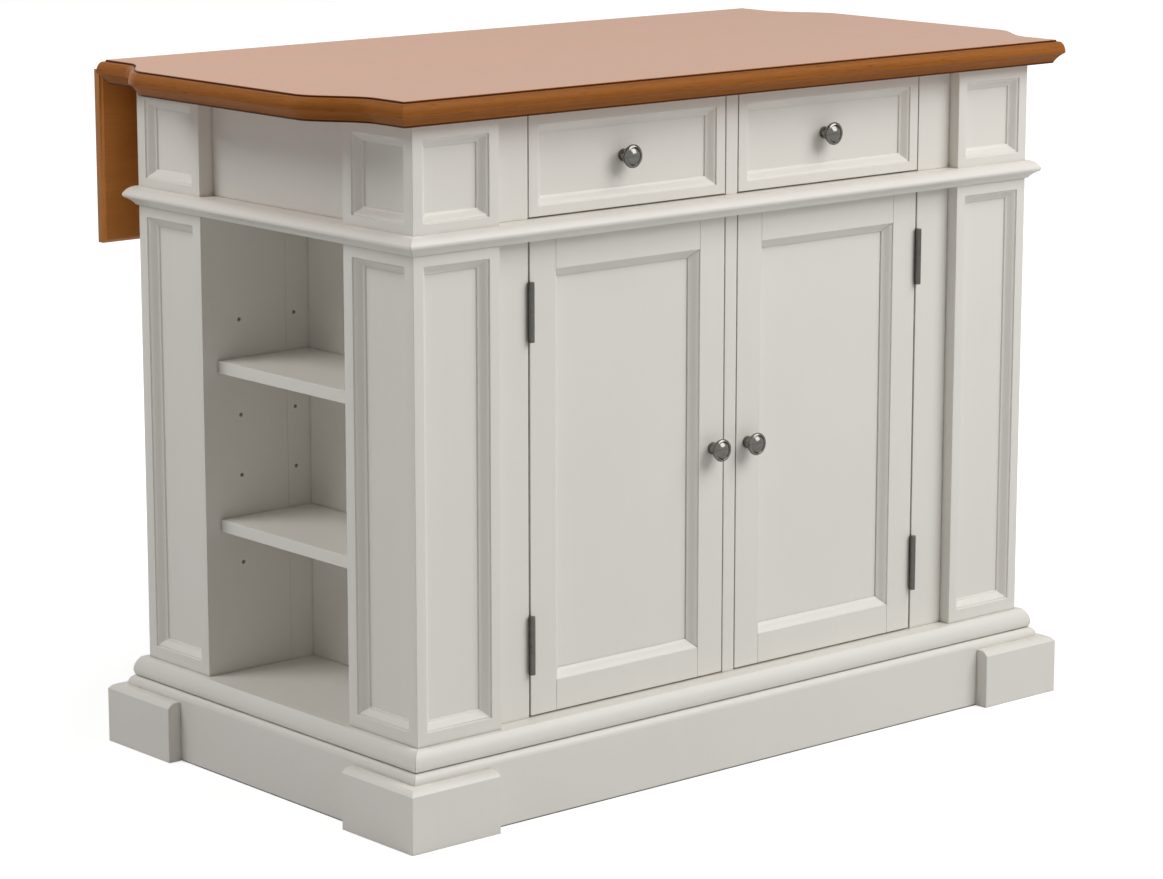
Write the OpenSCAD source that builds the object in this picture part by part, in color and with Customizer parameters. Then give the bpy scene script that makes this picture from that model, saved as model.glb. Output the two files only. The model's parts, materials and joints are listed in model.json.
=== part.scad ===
// Kitchen island with a drop leaf: painted cabinet, moulded wooden top, two doors,
// two drawers, open shelf bays at both ends, and a hinged leaf on folding supports.
// Millimetres, +Z up, front towards -Y, origin on the floor at the middle of the cabinet.

/* [Cabinet body] */
// Height of the worktop surface above the floor
top_z = 914; // [880:1:960]
// Width of the body across the corner posts
body_w = 1064; // [980:1:1300]
// Depth of the body across the corner posts
body_d = 576; // [540:1:680]
// Height of the upper face of the floor board
bay_floor_z = 118.3; // [112:0.1:140]
// Thickness of the floor board
floor_t = 26.3; // [20:0.1:30]
// Height of the frieze with the drawers, between the belt and the top
frieze_h = 132.6; // [126:0.1:150]
// Thickness of the belt rails
belt_h = 24.2; // [20:0.1:28]
// Reach of the belt moulding past the posts
belt_out = 15.8; // [8:0.1:17]
// Reach of the base moulding past the posts
base_out = 16.2; // [10:0.1:17]
// Thickness of the cabinet panels
panel_t = 15; // [12:0.5:18]
// Thickness of the back panels
back_t = 12; // [6:0.5:15]
// How far the back panels stand in from the faces of the posts
back_setback = 17; // [12:0.5:24]

/* [Worktop] */
// Thickness of the top
top_t = 31.7; // [26:0.1:40]
// Overhang of the long edges past the posts
side_overhang = 24; // [20:0.5:40]
// Overhang of the square corners past the posts
corner_overhang = 30; // [20:0.5:40]
// Overhang of the straight ends past the posts
end_overhang = 77; // [50:1:110]
// Length of the straight stretch of each end
end_flat = 320; // [220:1:340]
// Length along the end of each curved shoulder
shoulder_run = 98; // [70:1:110]
// Reach of the edge moulding past the upper edge
edge_out = 9; // [6:0.5:12]
// Height and width of the small step under the upper edge
edge_step = 2.4; // [1:0.1:4]
// Depth of the nose of the edge moulding below the surface
nose_drop = 17.5; // [12:0.5:22]

/* [Corner posts] */
// Width of a post
post_w = 133; // [110:1:150]
// Depth of a post
post_d = 137.5; // [110:0.5:150]
// Margin beside the recesses in the long faces
face_margin = 15.5; // [12:0.5:25]
// Margin beside the recesses in the end faces
end_margin = 17.5; // [12:0.5:25]
// Margin under the tall recess
foot_margin = 17.2; // [10:0.1:30]
// Margin over the tall recess
belt_margin = 15; // [10:0.5:30]
// Margin under the upper recess
frieze_margin_low = 12.3; // [8:0.1:20]
// Margin over the upper recess
frieze_margin_top = 18.8; // [10:0.1:25]
// Depth of the recesses
recess_depth = 13; // [8:0.5:16]
// Width of the moulding that lines a recess
sticking_w = 11; // [8:0.5:14]
// Depth of the square steps at both edges of that moulding
quirk = 2; // [1:0.1:3]

/* [Plinth and feet] */
// Reach of the plinth past the posts
plinth_out = 21.5; // [18:0.5:28]
// Thickness of the plinth rails
plinth_t = 32; // [25:1:40]
// Width of the hollow cap along the top of the plinth
plinth_cap = 5.5; // [3:0.1:7]
// Height of the feet
foot_h = 80; // [60:1:86]
// Thickness of the feet in front of the plinth
foot_t = 19.3; // [14:0.1:26]
// Length of a foot along the long side
foot_len_x = 138.5; // [100:0.5:180]
// Length of a foot along the end
foot_len_y = 140.9; // [100:0.1:180]
// Width of the rounding along the top of a foot
foot_round_w = 9.8; // [5:0.1:12]
// Drop of the rounding along the top of a foot
foot_round_h = 6.3; // [3:0.1:10]
// Length of the glue blocks in the corners of the plinth
glue_block_h = 70; // [40:1:80]
// Width of the glue blocks
glue_block_w = 60; // [40:1:90]

/* [Open shelf bays] */
// Depth of a bay from the end faces of the posts
bay_depth = 169.5; // [155:0.5:175]
// Recess of the panel over a bay
end_frieze_setback = 21.5; // [15:0.5:30]
// Height of the underside of the lower shelf
low_shelf_z = 309.5; // [290:0.5:330]
// Height of the underside of the upper shelf
high_shelf_z = 519; // [500:0.5:540]
// Thickness of a shelf
shelf_t = 16.5; // [14:0.5:20]
// Height of the underside of the cupboard shelf
cupboard_shelf_z = 415; // [300:1:520]
// How far a bay shelf stands back from the ends of the posts
shelf_setback = 23; // [10:0.5:40]
// Heights of the unused shelf pin holes
spare_hole_z = [263.6, 380, 459.7, 585.3];
// Diameter of a shelf pin
pin_d = 5; // [4:0.1:6]
// Length of a shelf pin
pin_len = 18; // [14:0.5:24]
// Distance from the end faces of the posts to the outer row of pins
pin_end_inset = 58.4; // [45:0.1:80]
// Distance of the cupboard shelf's pegs from the front and the back
peg_inset = 60; // [40:1:100]
// Distance from the back of a bay to the inner row of pins
pin_back_inset = 23.7; // [15:0.1:30]

/* [Doors] */
// How far the face frame stands in from the faces of the posts
face_setback = 17; // [12:0.5:20]
// Thickness of the face frame
face_t = 20; // [18:0.5:24]
// Width of the centre stile
centre_stile_w = 20; // [16:0.5:40]
// Width of a side stile
side_stile_w = 59; // [50:0.5:70]
// Thickness of a door
door_t = 20; // [19:0.5:22]
// Gap round a door at its top, bottom and middle
door_gap = 1.8; // [1:0.1:3]
// Gap beside a door that its hinges fill
hinge_gap = 3; // [2.6:0.1:4]
// Width of a door stile
door_stile_w = 42; // [36:0.5:60]
// Width of a door rail
door_rail_w = 40; // [36:0.5:60]
// Thickness of a door panel
door_panel_t = 5; // [4:0.1:5.5]
// Reach of a door panel into its groove
panel_tongue = 8; // [5:0.5:10]
// Gap at the joint lines of a door
joint_line = 0.3; // [0.1:0.1:0.5]
// Distance from a door's free edge to its knob
knob_inset = 19; // [15:0.5:30]
// Length of a door hinge
door_hinge_len = 75; // [60:1:90]
// Radius of a door hinge barrel
door_barrel_r = 4; // [3:0.1:4.2]
// Height of the middle of the lower hinge above the door's lower edge
low_hinge_rise = 92.2; // [60:0.1:150]
// Depth of the middle of the upper hinge below the door's upper edge
high_hinge_drop = 88.8; // [60:0.1:150]

/* [Drawers] */
// Thickness of a drawer front
drawer_front_t = 19; // [18:0.5:20]
// Gap beside and under a drawer front
drawer_gap = 1.8; // [1:0.1:3]
// Gap over a drawer front
drawer_top_gap = 2.3; // [1.5:0.1:3]
// Margin beside the recess of a drawer front
drawer_margin = 15; // [12:0.5:25]
// Margin under that recess
drawer_margin_low = 12.6; // [10:0.1:20]
// Margin over that recess
drawer_margin_top = 16.2; // [10:0.1:25]
// Depth of that recess
drawer_recess = 12; // [8:0.5:12.5]
// Length of a drawer box
drawer_len = 400; // [350:10:440]
// Height of a drawer box
drawer_h = 100; // [80:1:104]
// Thickness of the sides of a drawer box
drawer_side_t = 12; // [10:0.5:15]
// Thickness of the bottom of a drawer box
drawer_bottom_t = 6; // [4:0.5:8]
// Space for the runners beside a drawer box
runner_w = 12.7; // [12:0.1:14]
// Height of a runner
runner_h = 35; // [30:1:45]

/* [Knobs] */
// Diameter of a knob
knob_d = 30; // [26:1:36]
// Height of a knob
knob_h = 25; // [22:1:32]
// Diameter of the foot of a knob
knob_foot_d = 16; // [12:0.5:20]
// Diameter of the neck of a knob
knob_neck_d = 9.2; // [8:0.2:12]
// Height of the neck of a knob
knob_neck_z = 9; // [7:0.5:11]

/* [Drop leaf] */
// Thickness of the leaf
leaf_t = 16; // [14:0.5:20]
// Width of the leaf from its hinged edge to its free edge
leaf_w = 227; // [180:1:260]
// Gap between the nose of the top's edge and the hanging leaf
leaf_gap = 4.5; // [4:0.1:6]
// Width of a leaf hinge
leaf_hinge_w = 60; // [50:1:80]
// Distance of the outer leaf hinges from the middle
leaf_hinge_x = 400; // [340:1:440]
// Radius of a leaf hinge knuckle
knuckle_r = 3.2; // [2.8:0.1:3.6]
// Thickness of the leaf hinge plates
hinge_plate_t = 1.6; // [1.2:0.1:2]

/* [Folding supports] */
// Distance of the supports from the middle
arm_x = 240; // [180:1:300]
// Distance of an arm's pivot from the leaf's axis, along Y and along Z
arm_offset = 30; // [28:0.5:32]
// Width of a support arm
arm_w = 20; // [16:0.5:24]
// Length of a support arm below its pivot
arm_len = 185; // [150:1:200]
// Radius of an arm's hub
hub_r = 10; // [9:0.5:11]
// Radius of the arm pins
arm_pin_r = 3; // [2.5:0.1:4]
// Length of the channel of a support arm
channel_len = 158; // [120:1:165]
// Height of the plate of a support bracket
bracket_h = 70; // [60:1:80]
// Width of the plate of a support bracket
bracket_w = 60; // [46:1:80]
// Thickness of the pressed steel of the supports
steel_t = 2; // [1.5:0.1:2.5]

/* [Hidden] */

$fn = 48;
paint = [0.84, 0.83, 0.80];
wood = [0.62, 0.38, 0.22];
plywood = [0.80, 0.68, 0.50];
pewter = [0.36, 0.36, 0.35];
steel = [0.70, 0.71, 0.73];

// Clearances
fit = 0.05;          // round pin in its bore, on the radius
loose = 0.2;         // flat piece in its groove
cut = 1;             // how far a cutter runs past a face
arm_play = 0.6;      // arm to bracket cheek, each side
latch_play = 0.35;   // release lever to hub
pad_play = 0.1;      // runner pad to runner
mitre_gap = 0.1;     // half of the joint line at a mitre
barrel_play = 0.5;   // door hinge barrel to the faces beside it
plate_play = 0.1;    // hinge plate to the middle of its gap
leaf_play = 0.3;     // support arm to the hanging leaf
knuckle_play = 0.2;  // leaf hinge knuckle to its neighbours and to its notch, each side
shelf_end_gap = 0.7; // shelf to the sides of its bay
shelf_back_gap = 0.5; // shelf to the back of its bay

// Places that several pieces share
half_w = body_w / 2;
half_d = body_d / 2;
carcass_z = top_z - top_t;
base_z = bay_floor_z - floor_t;
belt_top = carcass_z - frieze_h;
belt_z = belt_top - belt_h;
post_x = half_w - post_w;                    // inner side of a post
post_y = half_d - post_d;                    // side of a bay
bay_x = half_w - bay_depth;                  // back of a bay
face_y = -half_d + face_setback;             // front of the face frame, doors and drawers
frame_back_y = face_y + face_t;
back_y = half_d - back_setback;              // outer face of the back panels
inner_back_y = back_y - back_t;
partition_x = bay_x - panel_t;               // inner face of a partition
opening_x = post_x - side_stile_w;           // hinge side of a door opening

// Door and drawer places, for the right-hand pair
door_x0 = centre_stile_w / 2 + door_gap;
door_x1 = opening_x - hinge_gap;
door_z0 = bay_floor_z + door_gap;
door_z1 = belt_z - door_gap;
door_w = door_x1 - door_x0;
door_h = door_z1 - door_z0;
door_mid = [(door_x0 + door_x1) / 2, face_y, (door_z0 + door_z1) / 2];
hinge_axis_x = opening_x - hinge_gap / 2;
hinge_axis_y = face_y - door_barrel_r - barrel_play;
drawer_x0 = centre_stile_w / 2 + drawer_gap;
drawer_x1 = opening_x - drawer_gap;
drawer_z0 = belt_top + drawer_gap;
drawer_z1 = carcass_z - drawer_top_gap;
box_x0 = centre_stile_w / 2 + runner_w;
box_x1 = opening_x - runner_w;
box_y0 = face_y + drawer_front_t;
box_rise = 6;                                // box over the lower edge of its front
box_z0 = drawer_z0 + box_rise;
box_z1 = box_z0 + drawer_h;
runner_z = (box_z0 + box_z1) / 2;
divider_t = centre_stile_w;
deck_t = back_t;
stretcher_t = 18;
stretcher_w = 60;

// Leaf and support places
leaf_y = half_d + side_overhang + edge_out + leaf_gap;    // inner face of the hanging leaf
axis_drop = 2;                                            // leaf edge over its axis
axis_z = top_z - leaf_t;
leaf_top = axis_z + axis_drop;
leaf_half = half_w + corner_overhang;
pivot_y = leaf_y - arm_offset;
pivot_z = axis_z - arm_offset;
flange_y = leaf_y - leaf_play;                            // face of the arm that meets the leaf
lever_back = 15.5;                                        // lever's pin behind the arm's pivot
lever_drop = 20;                                          // and below it
lever_y = pivot_y - lever_back;
lever_z = pivot_z - lever_drop;
bracket_t = 2.5;
bracket_gap = arm_w + 2 * arm_play;

// ---------------------------------------------------------------- shared shapes

module block(lo, hi) {
    translate(lo) cube(hi - lo);
}

module both_x() {
    children();
    mirror([1, 0, 0]) children();
}

module both_y() {
    children();
    mirror([0, 1, 0]) children();
}

// Right-hand shape, mirrored for the left
module on_side(side) {
    mirror([side == "left" ? 1 : 0, 0, 0]) children();
}

// Prism of a YZ outline between two X
module along_x(x0, x1) {
    translate([x0, 0, 0]) rotate([90, 0, 90]) linear_extrude(x1 - x0) children();
}

// Prism of an XZ outline between two Y
module along_y(y0, y1) {
    translate([0, y1, 0]) rotate([90, 0, 0]) linear_extrude(y1 - y0) children();
}

// Points from a to b on a curve that bows to the left of the way by bow
function bowed(a, b, bow, steps = 4) =
    let (d = b - a, side = [-d[1], d[0]] / norm(d))
    [for (i = [0:steps]) let (t = i / steps) a + d * t + side * bow * 4 * t * (1 - t)];

function reversed(list) = [for (i = [len(list) - 1:-1:0]) list[i]];

// Cross-section of a moulded recess: across the face, and into it
function recess_outline(size, depth) =
    let (
        steps = 5,
        edge = [for (i = [0:steps]) let (t = i / steps)
            [-size / 2 + sticking_w * t, quirk + (depth - 2 * quirk) * (1 - cos(180 * t)) / 2]],
        half = concat([[-size / 2, -cut]], edge, [[-size / 2 + sticking_w, depth]])
    )
    concat(half, [for (p = reversed(half)) [-p[0], p[1]]]);

// Moulded recess in a face at y = 0 that looks towards -Y, with mitred corners
module recess(w, h, depth) {
    intersection() {
        linear_extrude(h + 2 * cut, center = true) polygon(recess_outline(w, depth));
        along_x(-w / 2 - cut, w / 2 + cut)
            polygon([for (p = recess_outline(h, depth)) [p[1], p[0]]]);
    }
}

// The same recess between two heights
module recess_between(x0, x1, z0, z1, depth) {
    translate([(x0 + x1) / 2, 0, (z0 + z1) / 2]) recess(x1 - x0, z1 - z0, depth);
}

// One strip of a mitred frame, on the side towards -Y: outline is (reach, height)
module mitred_strip(half_len, half_run, outline, reach, inset) {
    intersection() {
        along_x(-half_len - reach, half_len + reach)
            polygon([for (p = outline) [-half_run - p[0], p[1]]]);
        linear_extrude(3 * top_z, center = true) polygon([
            [-half_len - reach + mitre_gap, -half_run - reach],
            [half_len + reach - mitre_gap, -half_run - reach],
            [half_len - inset - mitre_gap, -half_run + inset],
            [-half_len + inset + mitre_gap, -half_run + inset]
        ]);
    }
}

// Four strips with mitred corners round the cabinet
module mitred_frame(outline, reach, inset = 0) {
    both_y() mitred_strip(half_w, half_d, outline, reach, inset);
    both_x() rotate([0, 0, 90]) mitred_strip(half_d, half_w, outline, reach, inset);
}

// Shelf pin holes, or pins, in the side walls of the right-hand bay
module pin_places(heights, xs) {
    both_y() for (x = xs, z = heights) translate([x, -post_y, z]) rotate([90, 0, 0]) children();
}

pin_r = pin_d / 2;
pin_seat = 3.5;                                       // pin centre over a shelf's underside
groove_end = 1;                                       // room at the end of a pin's hole and of its groove
used_pin_z = [low_shelf_z + pin_seat, high_shelf_z + pin_seat];
all_pin_z = concat(spare_hole_z, used_pin_z);
pin_outer_x = half_w - pin_end_inset;
pin_inner_x = bay_x + pin_back_inset;
pin_hole_depth = pin_len / 2 + groove_end;

module pin_holes(xs) {
    pin_places(all_pin_z, xs)
        translate([0, 0, -cut]) cylinder(r = pin_r + fit, h = pin_hole_depth + cut);
}

// ---------------------------------------------------------------- worktop

corner_x = half_w + corner_overhang;
end_x = half_w + end_overhang;
edge_y = half_d + side_overhang;

// Curved shoulder from the straight end to the corner
shoulder = [for (i = [0:10]) let (t = i / 10)
    [end_x - (end_x - corner_x) * (1 - cos(180 * t)) / 2, end_flat / 2 + shoulder_run * t]];
right_edge = concat(
    [[corner_x, -edge_y]],
    [for (p = reversed(shoulder)) [p[0], -p[1]]],
    shoulder,
    [[corner_x, edge_y]]
);
top_outline = concat(right_edge, -right_edge);

// Edge moulding from the underside up: reach past the outline, and height from the surface
edge_profile = concat(
    [for (i = [0:5]) let (t = i / 5)
        [edge_out * (1 - cos(180 * t)) / 2, -top_t + (top_t - nose_drop) * t]],
    [for (a = [18:18:90])
        [edge_step + (edge_out - edge_step) * cos(a), -nose_drop + (nose_drop - edge_step) * sin(a)]],
    [[0, -edge_step], [0, 0]]
);

function outward(a, b) = let (d = (b - a) / norm(b - a)) [d[1], -d[0]];

// Direction in which a point of the outline moves out, so that both its edges keep their offset
function mitre(list, i) =
    let (
        n = len(list),
        before = outward(list[(i + n - 1) % n], list[i]),
        after = outward(list[i], list[(i + 1) % n])
    )
    (before + after) / (1 + before * after);

// Solid whose side is a profile swept round a closed outline. The outline runs up its right
// half and down its left half, point for point, so the flat faces split into level strips.
module moulded_slab(outline, profile, z) {
    n = len(outline);
    rings = len(profile);
    points = [for (p = profile, i = [0:n - 1])
        let (q = outline[i] + p[0] * mitre(outline, i)) [q[0], q[1], z + p[1]]];
    sides = [for (j = [0:rings - 2], i = [0:n - 1]) let (k = (i + 1) % n)
        [j * n + i, (j + 1) * n + i, (j + 1) * n + k, j * n + k]];
    strips = [for (i = [0:n / 2 - 2]) [i, i + 1, n - 2 - i, n - 1 - i]];
    top = (rings - 1) * n;
    lid = [for (s = strips) [for (i = reversed(s)) top + i]];
    polyhedron(points, concat(sides, strips, lid));
}

module countertop() {
    color(wood) moulded_slab(top_outline, edge_profile, top_z);
}

// ---------------------------------------------------------------- posts and panels

// Front right post; the others are mirrored from it
module post_shape() {
    difference() {
        block([post_x, -half_d, bay_floor_z], [half_w, -post_y, carcass_z]);
        translate([0, -half_d, 0]) {
            recess_between(post_x + face_margin, half_w - face_margin,
                bay_floor_z + foot_margin, belt_z - belt_margin, recess_depth);
            recess_between(post_x + face_margin, half_w - face_margin,
                belt_top + frieze_margin_low, carcass_z - frieze_margin_top, recess_depth);
        }
        translate([half_w, 0, 0]) rotate([0, 0, 90]) {
            recess_between(-half_d + end_margin, -post_y - end_margin,
                bay_floor_z + foot_margin, belt_z - belt_margin, recess_depth);
            recess_between(-half_d + end_margin, -post_y - end_margin,
                belt_top + frieze_margin_low, carcass_z - frieze_margin_top, recess_depth);
        }
        pin_holes([pin_outer_x]);
    }
}

module post(side, rear) {
    color(paint) on_side(side) mirror([0, rear ? 1 : 0, 0]) post_shape();
}

module floor_board() {
    color(paint) block([-half_w, -half_d, base_z], [half_w, half_d, bay_floor_z]);
}

module partition(side) {
    color(paint) on_side(side)
        block([partition_x, frame_back_y, bay_floor_z], [bay_x, inner_back_y, carcass_z]);
}

// Fillers that bring the sides of a bay flush with the posts
module bay_cheeks() {
    color(paint) both_x() both_y() difference() {
        block([bay_x, -post_y - panel_t, bay_floor_z], [post_x, -post_y, carcass_z]);
        pin_holes([pin_inner_x]);
    }
}

module bay_ceilings() {
    color(paint) both_x() block([bay_x, -post_y, belt_z], [half_w, post_y, belt_top]);
}

module end_frieze_panels() {
    color(paint) both_x() translate([half_w - end_frieze_setback, 0, 0])
        block([-panel_t, -post_y, belt_top], [0, post_y, carcass_z]);
}

module stiles(z0, z1) {
    block([-centre_stile_w / 2, face_y, z0], [centre_stile_w / 2, frame_back_y, z1]);
    both_x() block([opening_x, face_y, z0], [post_x, frame_back_y, z1]);
}

module face_frame() {
    color(paint) {
        stiles(bay_floor_z, belt_z);
        stiles(belt_top, carcass_z);
    }
}

module front_mid_rail() {
    color(paint) block([-post_x, -half_d, belt_z], [post_x, frame_back_y, belt_top]);
}

module back_mid_rail() {
    color(paint) block([-post_x, inner_back_y, belt_z], [post_x, half_d, belt_top]);
}

module back_board(z0, z1) {
    color(paint) block([-post_x, inner_back_y, z0], [post_x, back_y, z1]);
}

// ---------------------------------------------------------------- mouldings and plinth

belt_flat = 5;            // flat ledge on top of the belt moulding
belt_foot = 3.5;          // flat under it
nose_h = 13;              // point of the belt moulding over its underside
base_flat = 8;            // flat ledge on top of the base moulding
swell_h = 8;              // widest part of the base moulding over its underside
base_undercut = 1.7;      // how far the base moulding draws in below that
nose = [belt_out, belt_z + nose_h];
belt_outline = concat(
    [[0, belt_z], [0, belt_top]],
    bowed([belt_flat, belt_top], nose, 0.5),
    bowed(nose, [belt_foot, belt_z], -1.7)
);
base_swell = [base_out, base_z + swell_h];
base_outline = concat(
    [[0, base_z], [0, bay_floor_z]],
    bowed([base_flat, bay_floor_z], base_swell, 1.8),
    bowed(base_swell, [base_out - base_undercut, base_z], 0.2, 2)
);
cap_h = 9;                // height of the hollow cap along the plinth
plinth_inner = plinth_out - plinth_t;
plinth_outline = concat(
    [[plinth_inner, 0], [plinth_out, 0]],
    bowed([plinth_out, base_z - cap_h], [plinth_out - plinth_cap, base_z], -1.2),
    [[plinth_inner, base_z]]
);

module belt_moulding() {
    color(paint) mitred_frame(belt_outline, 2 * belt_out);
}

module base_moulding() {
    color(paint) mitred_frame(base_outline, 2 * base_out);
}

module plinth_rails() {
    color(paint) mitred_frame(plinth_outline, 2 * plinth_out, plinth_t);
}

// Glue blocks in the corners of the plinth
module plinth_blocks() {
    leg = glue_block_w;
    x = half_w + plinth_inner;
    y = half_d + plinth_inner;
    color(plywood) both_x() both_y() translate([0, 0, base_z - glue_block_h])
        linear_extrude(glue_block_h) polygon([[x, -y], [x, -y + leg], [x - leg, -y]]);
}

// Side view of a foot between two ends, with its top edges rounded
function foot_outline(inner, outer) =
    let (shoulder_z = foot_h - foot_round_h)
    concat(
        [[inner, 0], [outer, 0]],
        bowed([outer, shoulder_z], [outer - foot_round_w, foot_h], -0.6),
        bowed([inner + foot_round_w, foot_h], [inner, shoulder_z], -0.6)
    );

// Angled foot that wraps a corner of the plinth
module foot_shape() {
    px = half_w + plinth_out;
    py = half_d + plinth_out;
    x_out = px + foot_t;
    y_out = py + foot_t;
    difference() {
        intersection() {
            along_y(-y_out - cut, 0) polygon(foot_outline(x_out - foot_len_x, x_out));
            along_x(0, x_out + cut)
                polygon([for (p = foot_outline(y_out - foot_len_y, y_out)) [-p[0], p[1]]]);
        }
        block([0, -py, -cut], [px, 0, foot_h + cut]);
    }
}

module feet() {
    color(paint) both_x() both_y() foot_shape();
}

// ---------------------------------------------------------------- inside the cabinet

module drawer_deck() {
    color(plywood)
        block([-partition_x, frame_back_y, belt_z], [partition_x, inner_back_y, belt_z + deck_t]);
}

module drawer_divider() {
    color(plywood) block([-divider_t / 2, frame_back_y, belt_z + deck_t],
        [divider_t / 2, inner_back_y, carcass_z - stretcher_t]);
}

module top_stretchers() {
    color(plywood) {
        block([-partition_x, frame_back_y, carcass_z - stretcher_t],
            [partition_x, frame_back_y + stretcher_w, carcass_z]);
        block([-partition_x, inner_back_y - stretcher_w, carcass_z - stretcher_t],
            [partition_x, inner_back_y, carcass_z]);
    }
}

runner_y0 = box_y0 + 2;   // front end of the runners
runner_sheet = 1.2;       // thickness of the runner's sheet steel
runner_short = 4;         // how much shorter the moving runner is
fixed_clear = 3.2;        // flanges of the fixed runner to the drawer's side
moving_clear = 2;         // flanges of the moving runner to the wall
packer_margin = 3;        // packing strip over and under its runner
pad_len = 20;             // length of a glide pad
pad_inner = 4;            // near and far side of a glide pad, from the web
pad_outer = 9;
pad_gap = 1.3;            // space between the nested channels

// Packing strips that bring the outer runners flush with the door opening
module runner_packers() {
    half = runner_h / 2 + packer_margin;
    color(plywood) both_x() block([opening_x, runner_y0, runner_z - half],
        [partition_x, runner_y0 + drawer_len, runner_z + half]);
}

// Channel with its web at x = 0 and its flanges towards +X
module channel(y0, y1, reach, h) {
    along_y(y0, y1) difference() {
        translate([0, -h / 2]) square([reach, h]);
        translate([runner_sheet, -h / 2 + runner_sheet])
            square([reach, h - 2 * runner_sheet]);
    }
}

inner_h = runner_h - 2 * (runner_sheet + pad_gap);        // height of the drawer's channel

// Fixed runner on a wall at x = 0 that faces +X, with pads at its front end
module fixed_runner() {
    half = (pad_gap - pad_play) / 2;
    channel(runner_y0, runner_y0 + drawer_len, runner_w - fixed_clear, runner_h);
    for (s = [-1, 1]) translate([0, 0, s * (inner_h + pad_gap + pad_play) / 2])
        block([pad_inner, runner_y0, -half], [pad_outer, runner_y0 + pad_len, half]);
}

// Moving runner on a drawer side at x = 0 that faces +X, with pads at its back end
module moving_runner() {
    half = (pad_gap - pad_play) / 2;
    y1 = runner_y0 + drawer_len - runner_short;
    channel(runner_y0, y1, runner_w - moving_clear, inner_h);
    for (s = [-1, 1]) translate([0, 0, s * (inner_h + pad_gap - pad_play) / 2])
        block([pad_inner, y1 - pad_len, -half], [pad_outer, y1, half]);
}

module cabinet_runners() {
    color(steel) both_x() translate([0, 0, runner_z]) {
        translate([divider_t / 2, 0, 0]) fixed_runner();
        translate([opening_x, 0, 0]) mirror([1, 0, 0]) fixed_runner();
    }
}

shelf_inset = 1;           // cupboard shelf to the walls beside and behind it
shelf_front_gap = 8;       // cupboard shelf to the face frame
peg_len = 10;              // how far a cupboard peg stands out of the wall
pin_proud = 0.5;           // how much more of a shelf pin stands out than is in its hole

module cupboard_shelf() {
    color(paint) block([-partition_x + shelf_inset, frame_back_y + shelf_front_gap, cupboard_shelf_z],
        [partition_x - shelf_inset, inner_back_y - shelf_inset, cupboard_shelf_z + shelf_t]);
}

// Right-hand bay shelf, grooved underneath for its pins
module bay_shelf(z) {
    y = post_y - shelf_end_gap;
    groove_len = pin_len / 2 + groove_end;
    difference() {
        block([bay_x + shelf_back_gap, -y, z], [half_w - shelf_setback, y, z + shelf_t]);
        both_y() for (x = [pin_inner_x, pin_outer_x])
            block([x - pin_r - loose, -y - cut, z - cut],
                [x + pin_r + loose, -y + groove_len, z + pin_seat + pin_r + fit]);
    }
}

module bay_shelves() {
    color(paint) both_x() for (z = [low_shelf_z, high_shelf_z]) bay_shelf(z);
}

cupboard_pin_y = [frame_back_y + peg_inset, inner_back_y - peg_inset];

module shelf_pins() {
    color(steel) {
        both_x() pin_places(used_pin_z, [pin_inner_x, pin_outer_x])
            translate([0, 0, -pin_len / 2 + pin_proud]) cylinder(r = pin_r, h = pin_len);
        both_x() for (y = cupboard_pin_y)
            block([partition_x - peg_len, y - pin_r, cupboard_shelf_z - pin_d],
                [partition_x, y + pin_r, cupboard_shelf_z]);
    }
}

// ---------------------------------------------------------------- knobs

knob_bore_r = 2;          // shank of the knob's screw
screw_head_h = 2.4;
screw_head_r = 3.8;
screw_grip = 7;           // thread in the knob
bore_end = 2;             // bore past the screw's end
knob_foot_h = 1.6;        // height of the knob's foot
dome_h = 3.4;             // height of its domed face
dome_inset = 4.8;         // rim round the dome
rim_drop = 3.8;           // rim below the top of the dome
bowl_inset = 1;           // edge of the bowl inside the rim's reach
bowl_drop = 4.6;          // and below the rim
rim_groove = 0.4;         // depth of the groove between rim and dome

// Turned knob on a face at z = 0, rising to +Z
module knob() {
    r = knob_d / 2;
    foot = [knob_foot_d / 2, knob_foot_h];
    neck = [knob_neck_d / 2, knob_neck_z];
    rim_z = knob_h - rim_drop;
    bowl = [r - bowl_inset, rim_z - bowl_drop];
    crest = [r - 3 * bowl_inset, rim_z + 2 * rim_groove];
    dome_r = r - dome_inset;
    dome = [for (i = [5:-1:0]) let (t = i / 5) [dome_r * t, knob_h - dome_h * t * t]];
    stem = concat([[0, 0], [foot[0], 0], foot], bowed(foot, neck, -1.4, 5), bowed(neck, bowl, -1.6, 5));
    rim = concat(bowed(bowl, crest, -1.9, 6), [[r - 4 * bowl_inset, rim_z - rim_groove]]);
    difference() {
        rotate_extrude() polygon(concat(stem, rim, dome));
        translate([0, 0, -cut]) cylinder(r = knob_bore_r + fit, h = screw_grip + bore_end + cut);
    }
}

// Screw through a board of the given thickness behind the knob
module knob_screw(board) {
    translate([0, 0, -board]) {
        cylinder(r = knob_bore_r, h = board + screw_grip);
        translate([0, 0, -screw_head_h]) cylinder(r = screw_head_r, h = screw_head_h);
    }
}

module screw_bore(board) {
    translate([0, 0, -board - cut]) cylinder(r = knob_bore_r + loose, h = board + 2 * cut);
}

module facing_front(x, y, z) {
    translate([x, y, z]) rotate([90, 0, 0]) children();
}

// ---------------------------------------------------------------- doors

window_w = door_w - 2 * (door_stile_w + sticking_w);
window_h = door_h - 2 * (door_rail_w + sticking_w);
door_knob_x = door_x0 + knob_inset;

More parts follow.
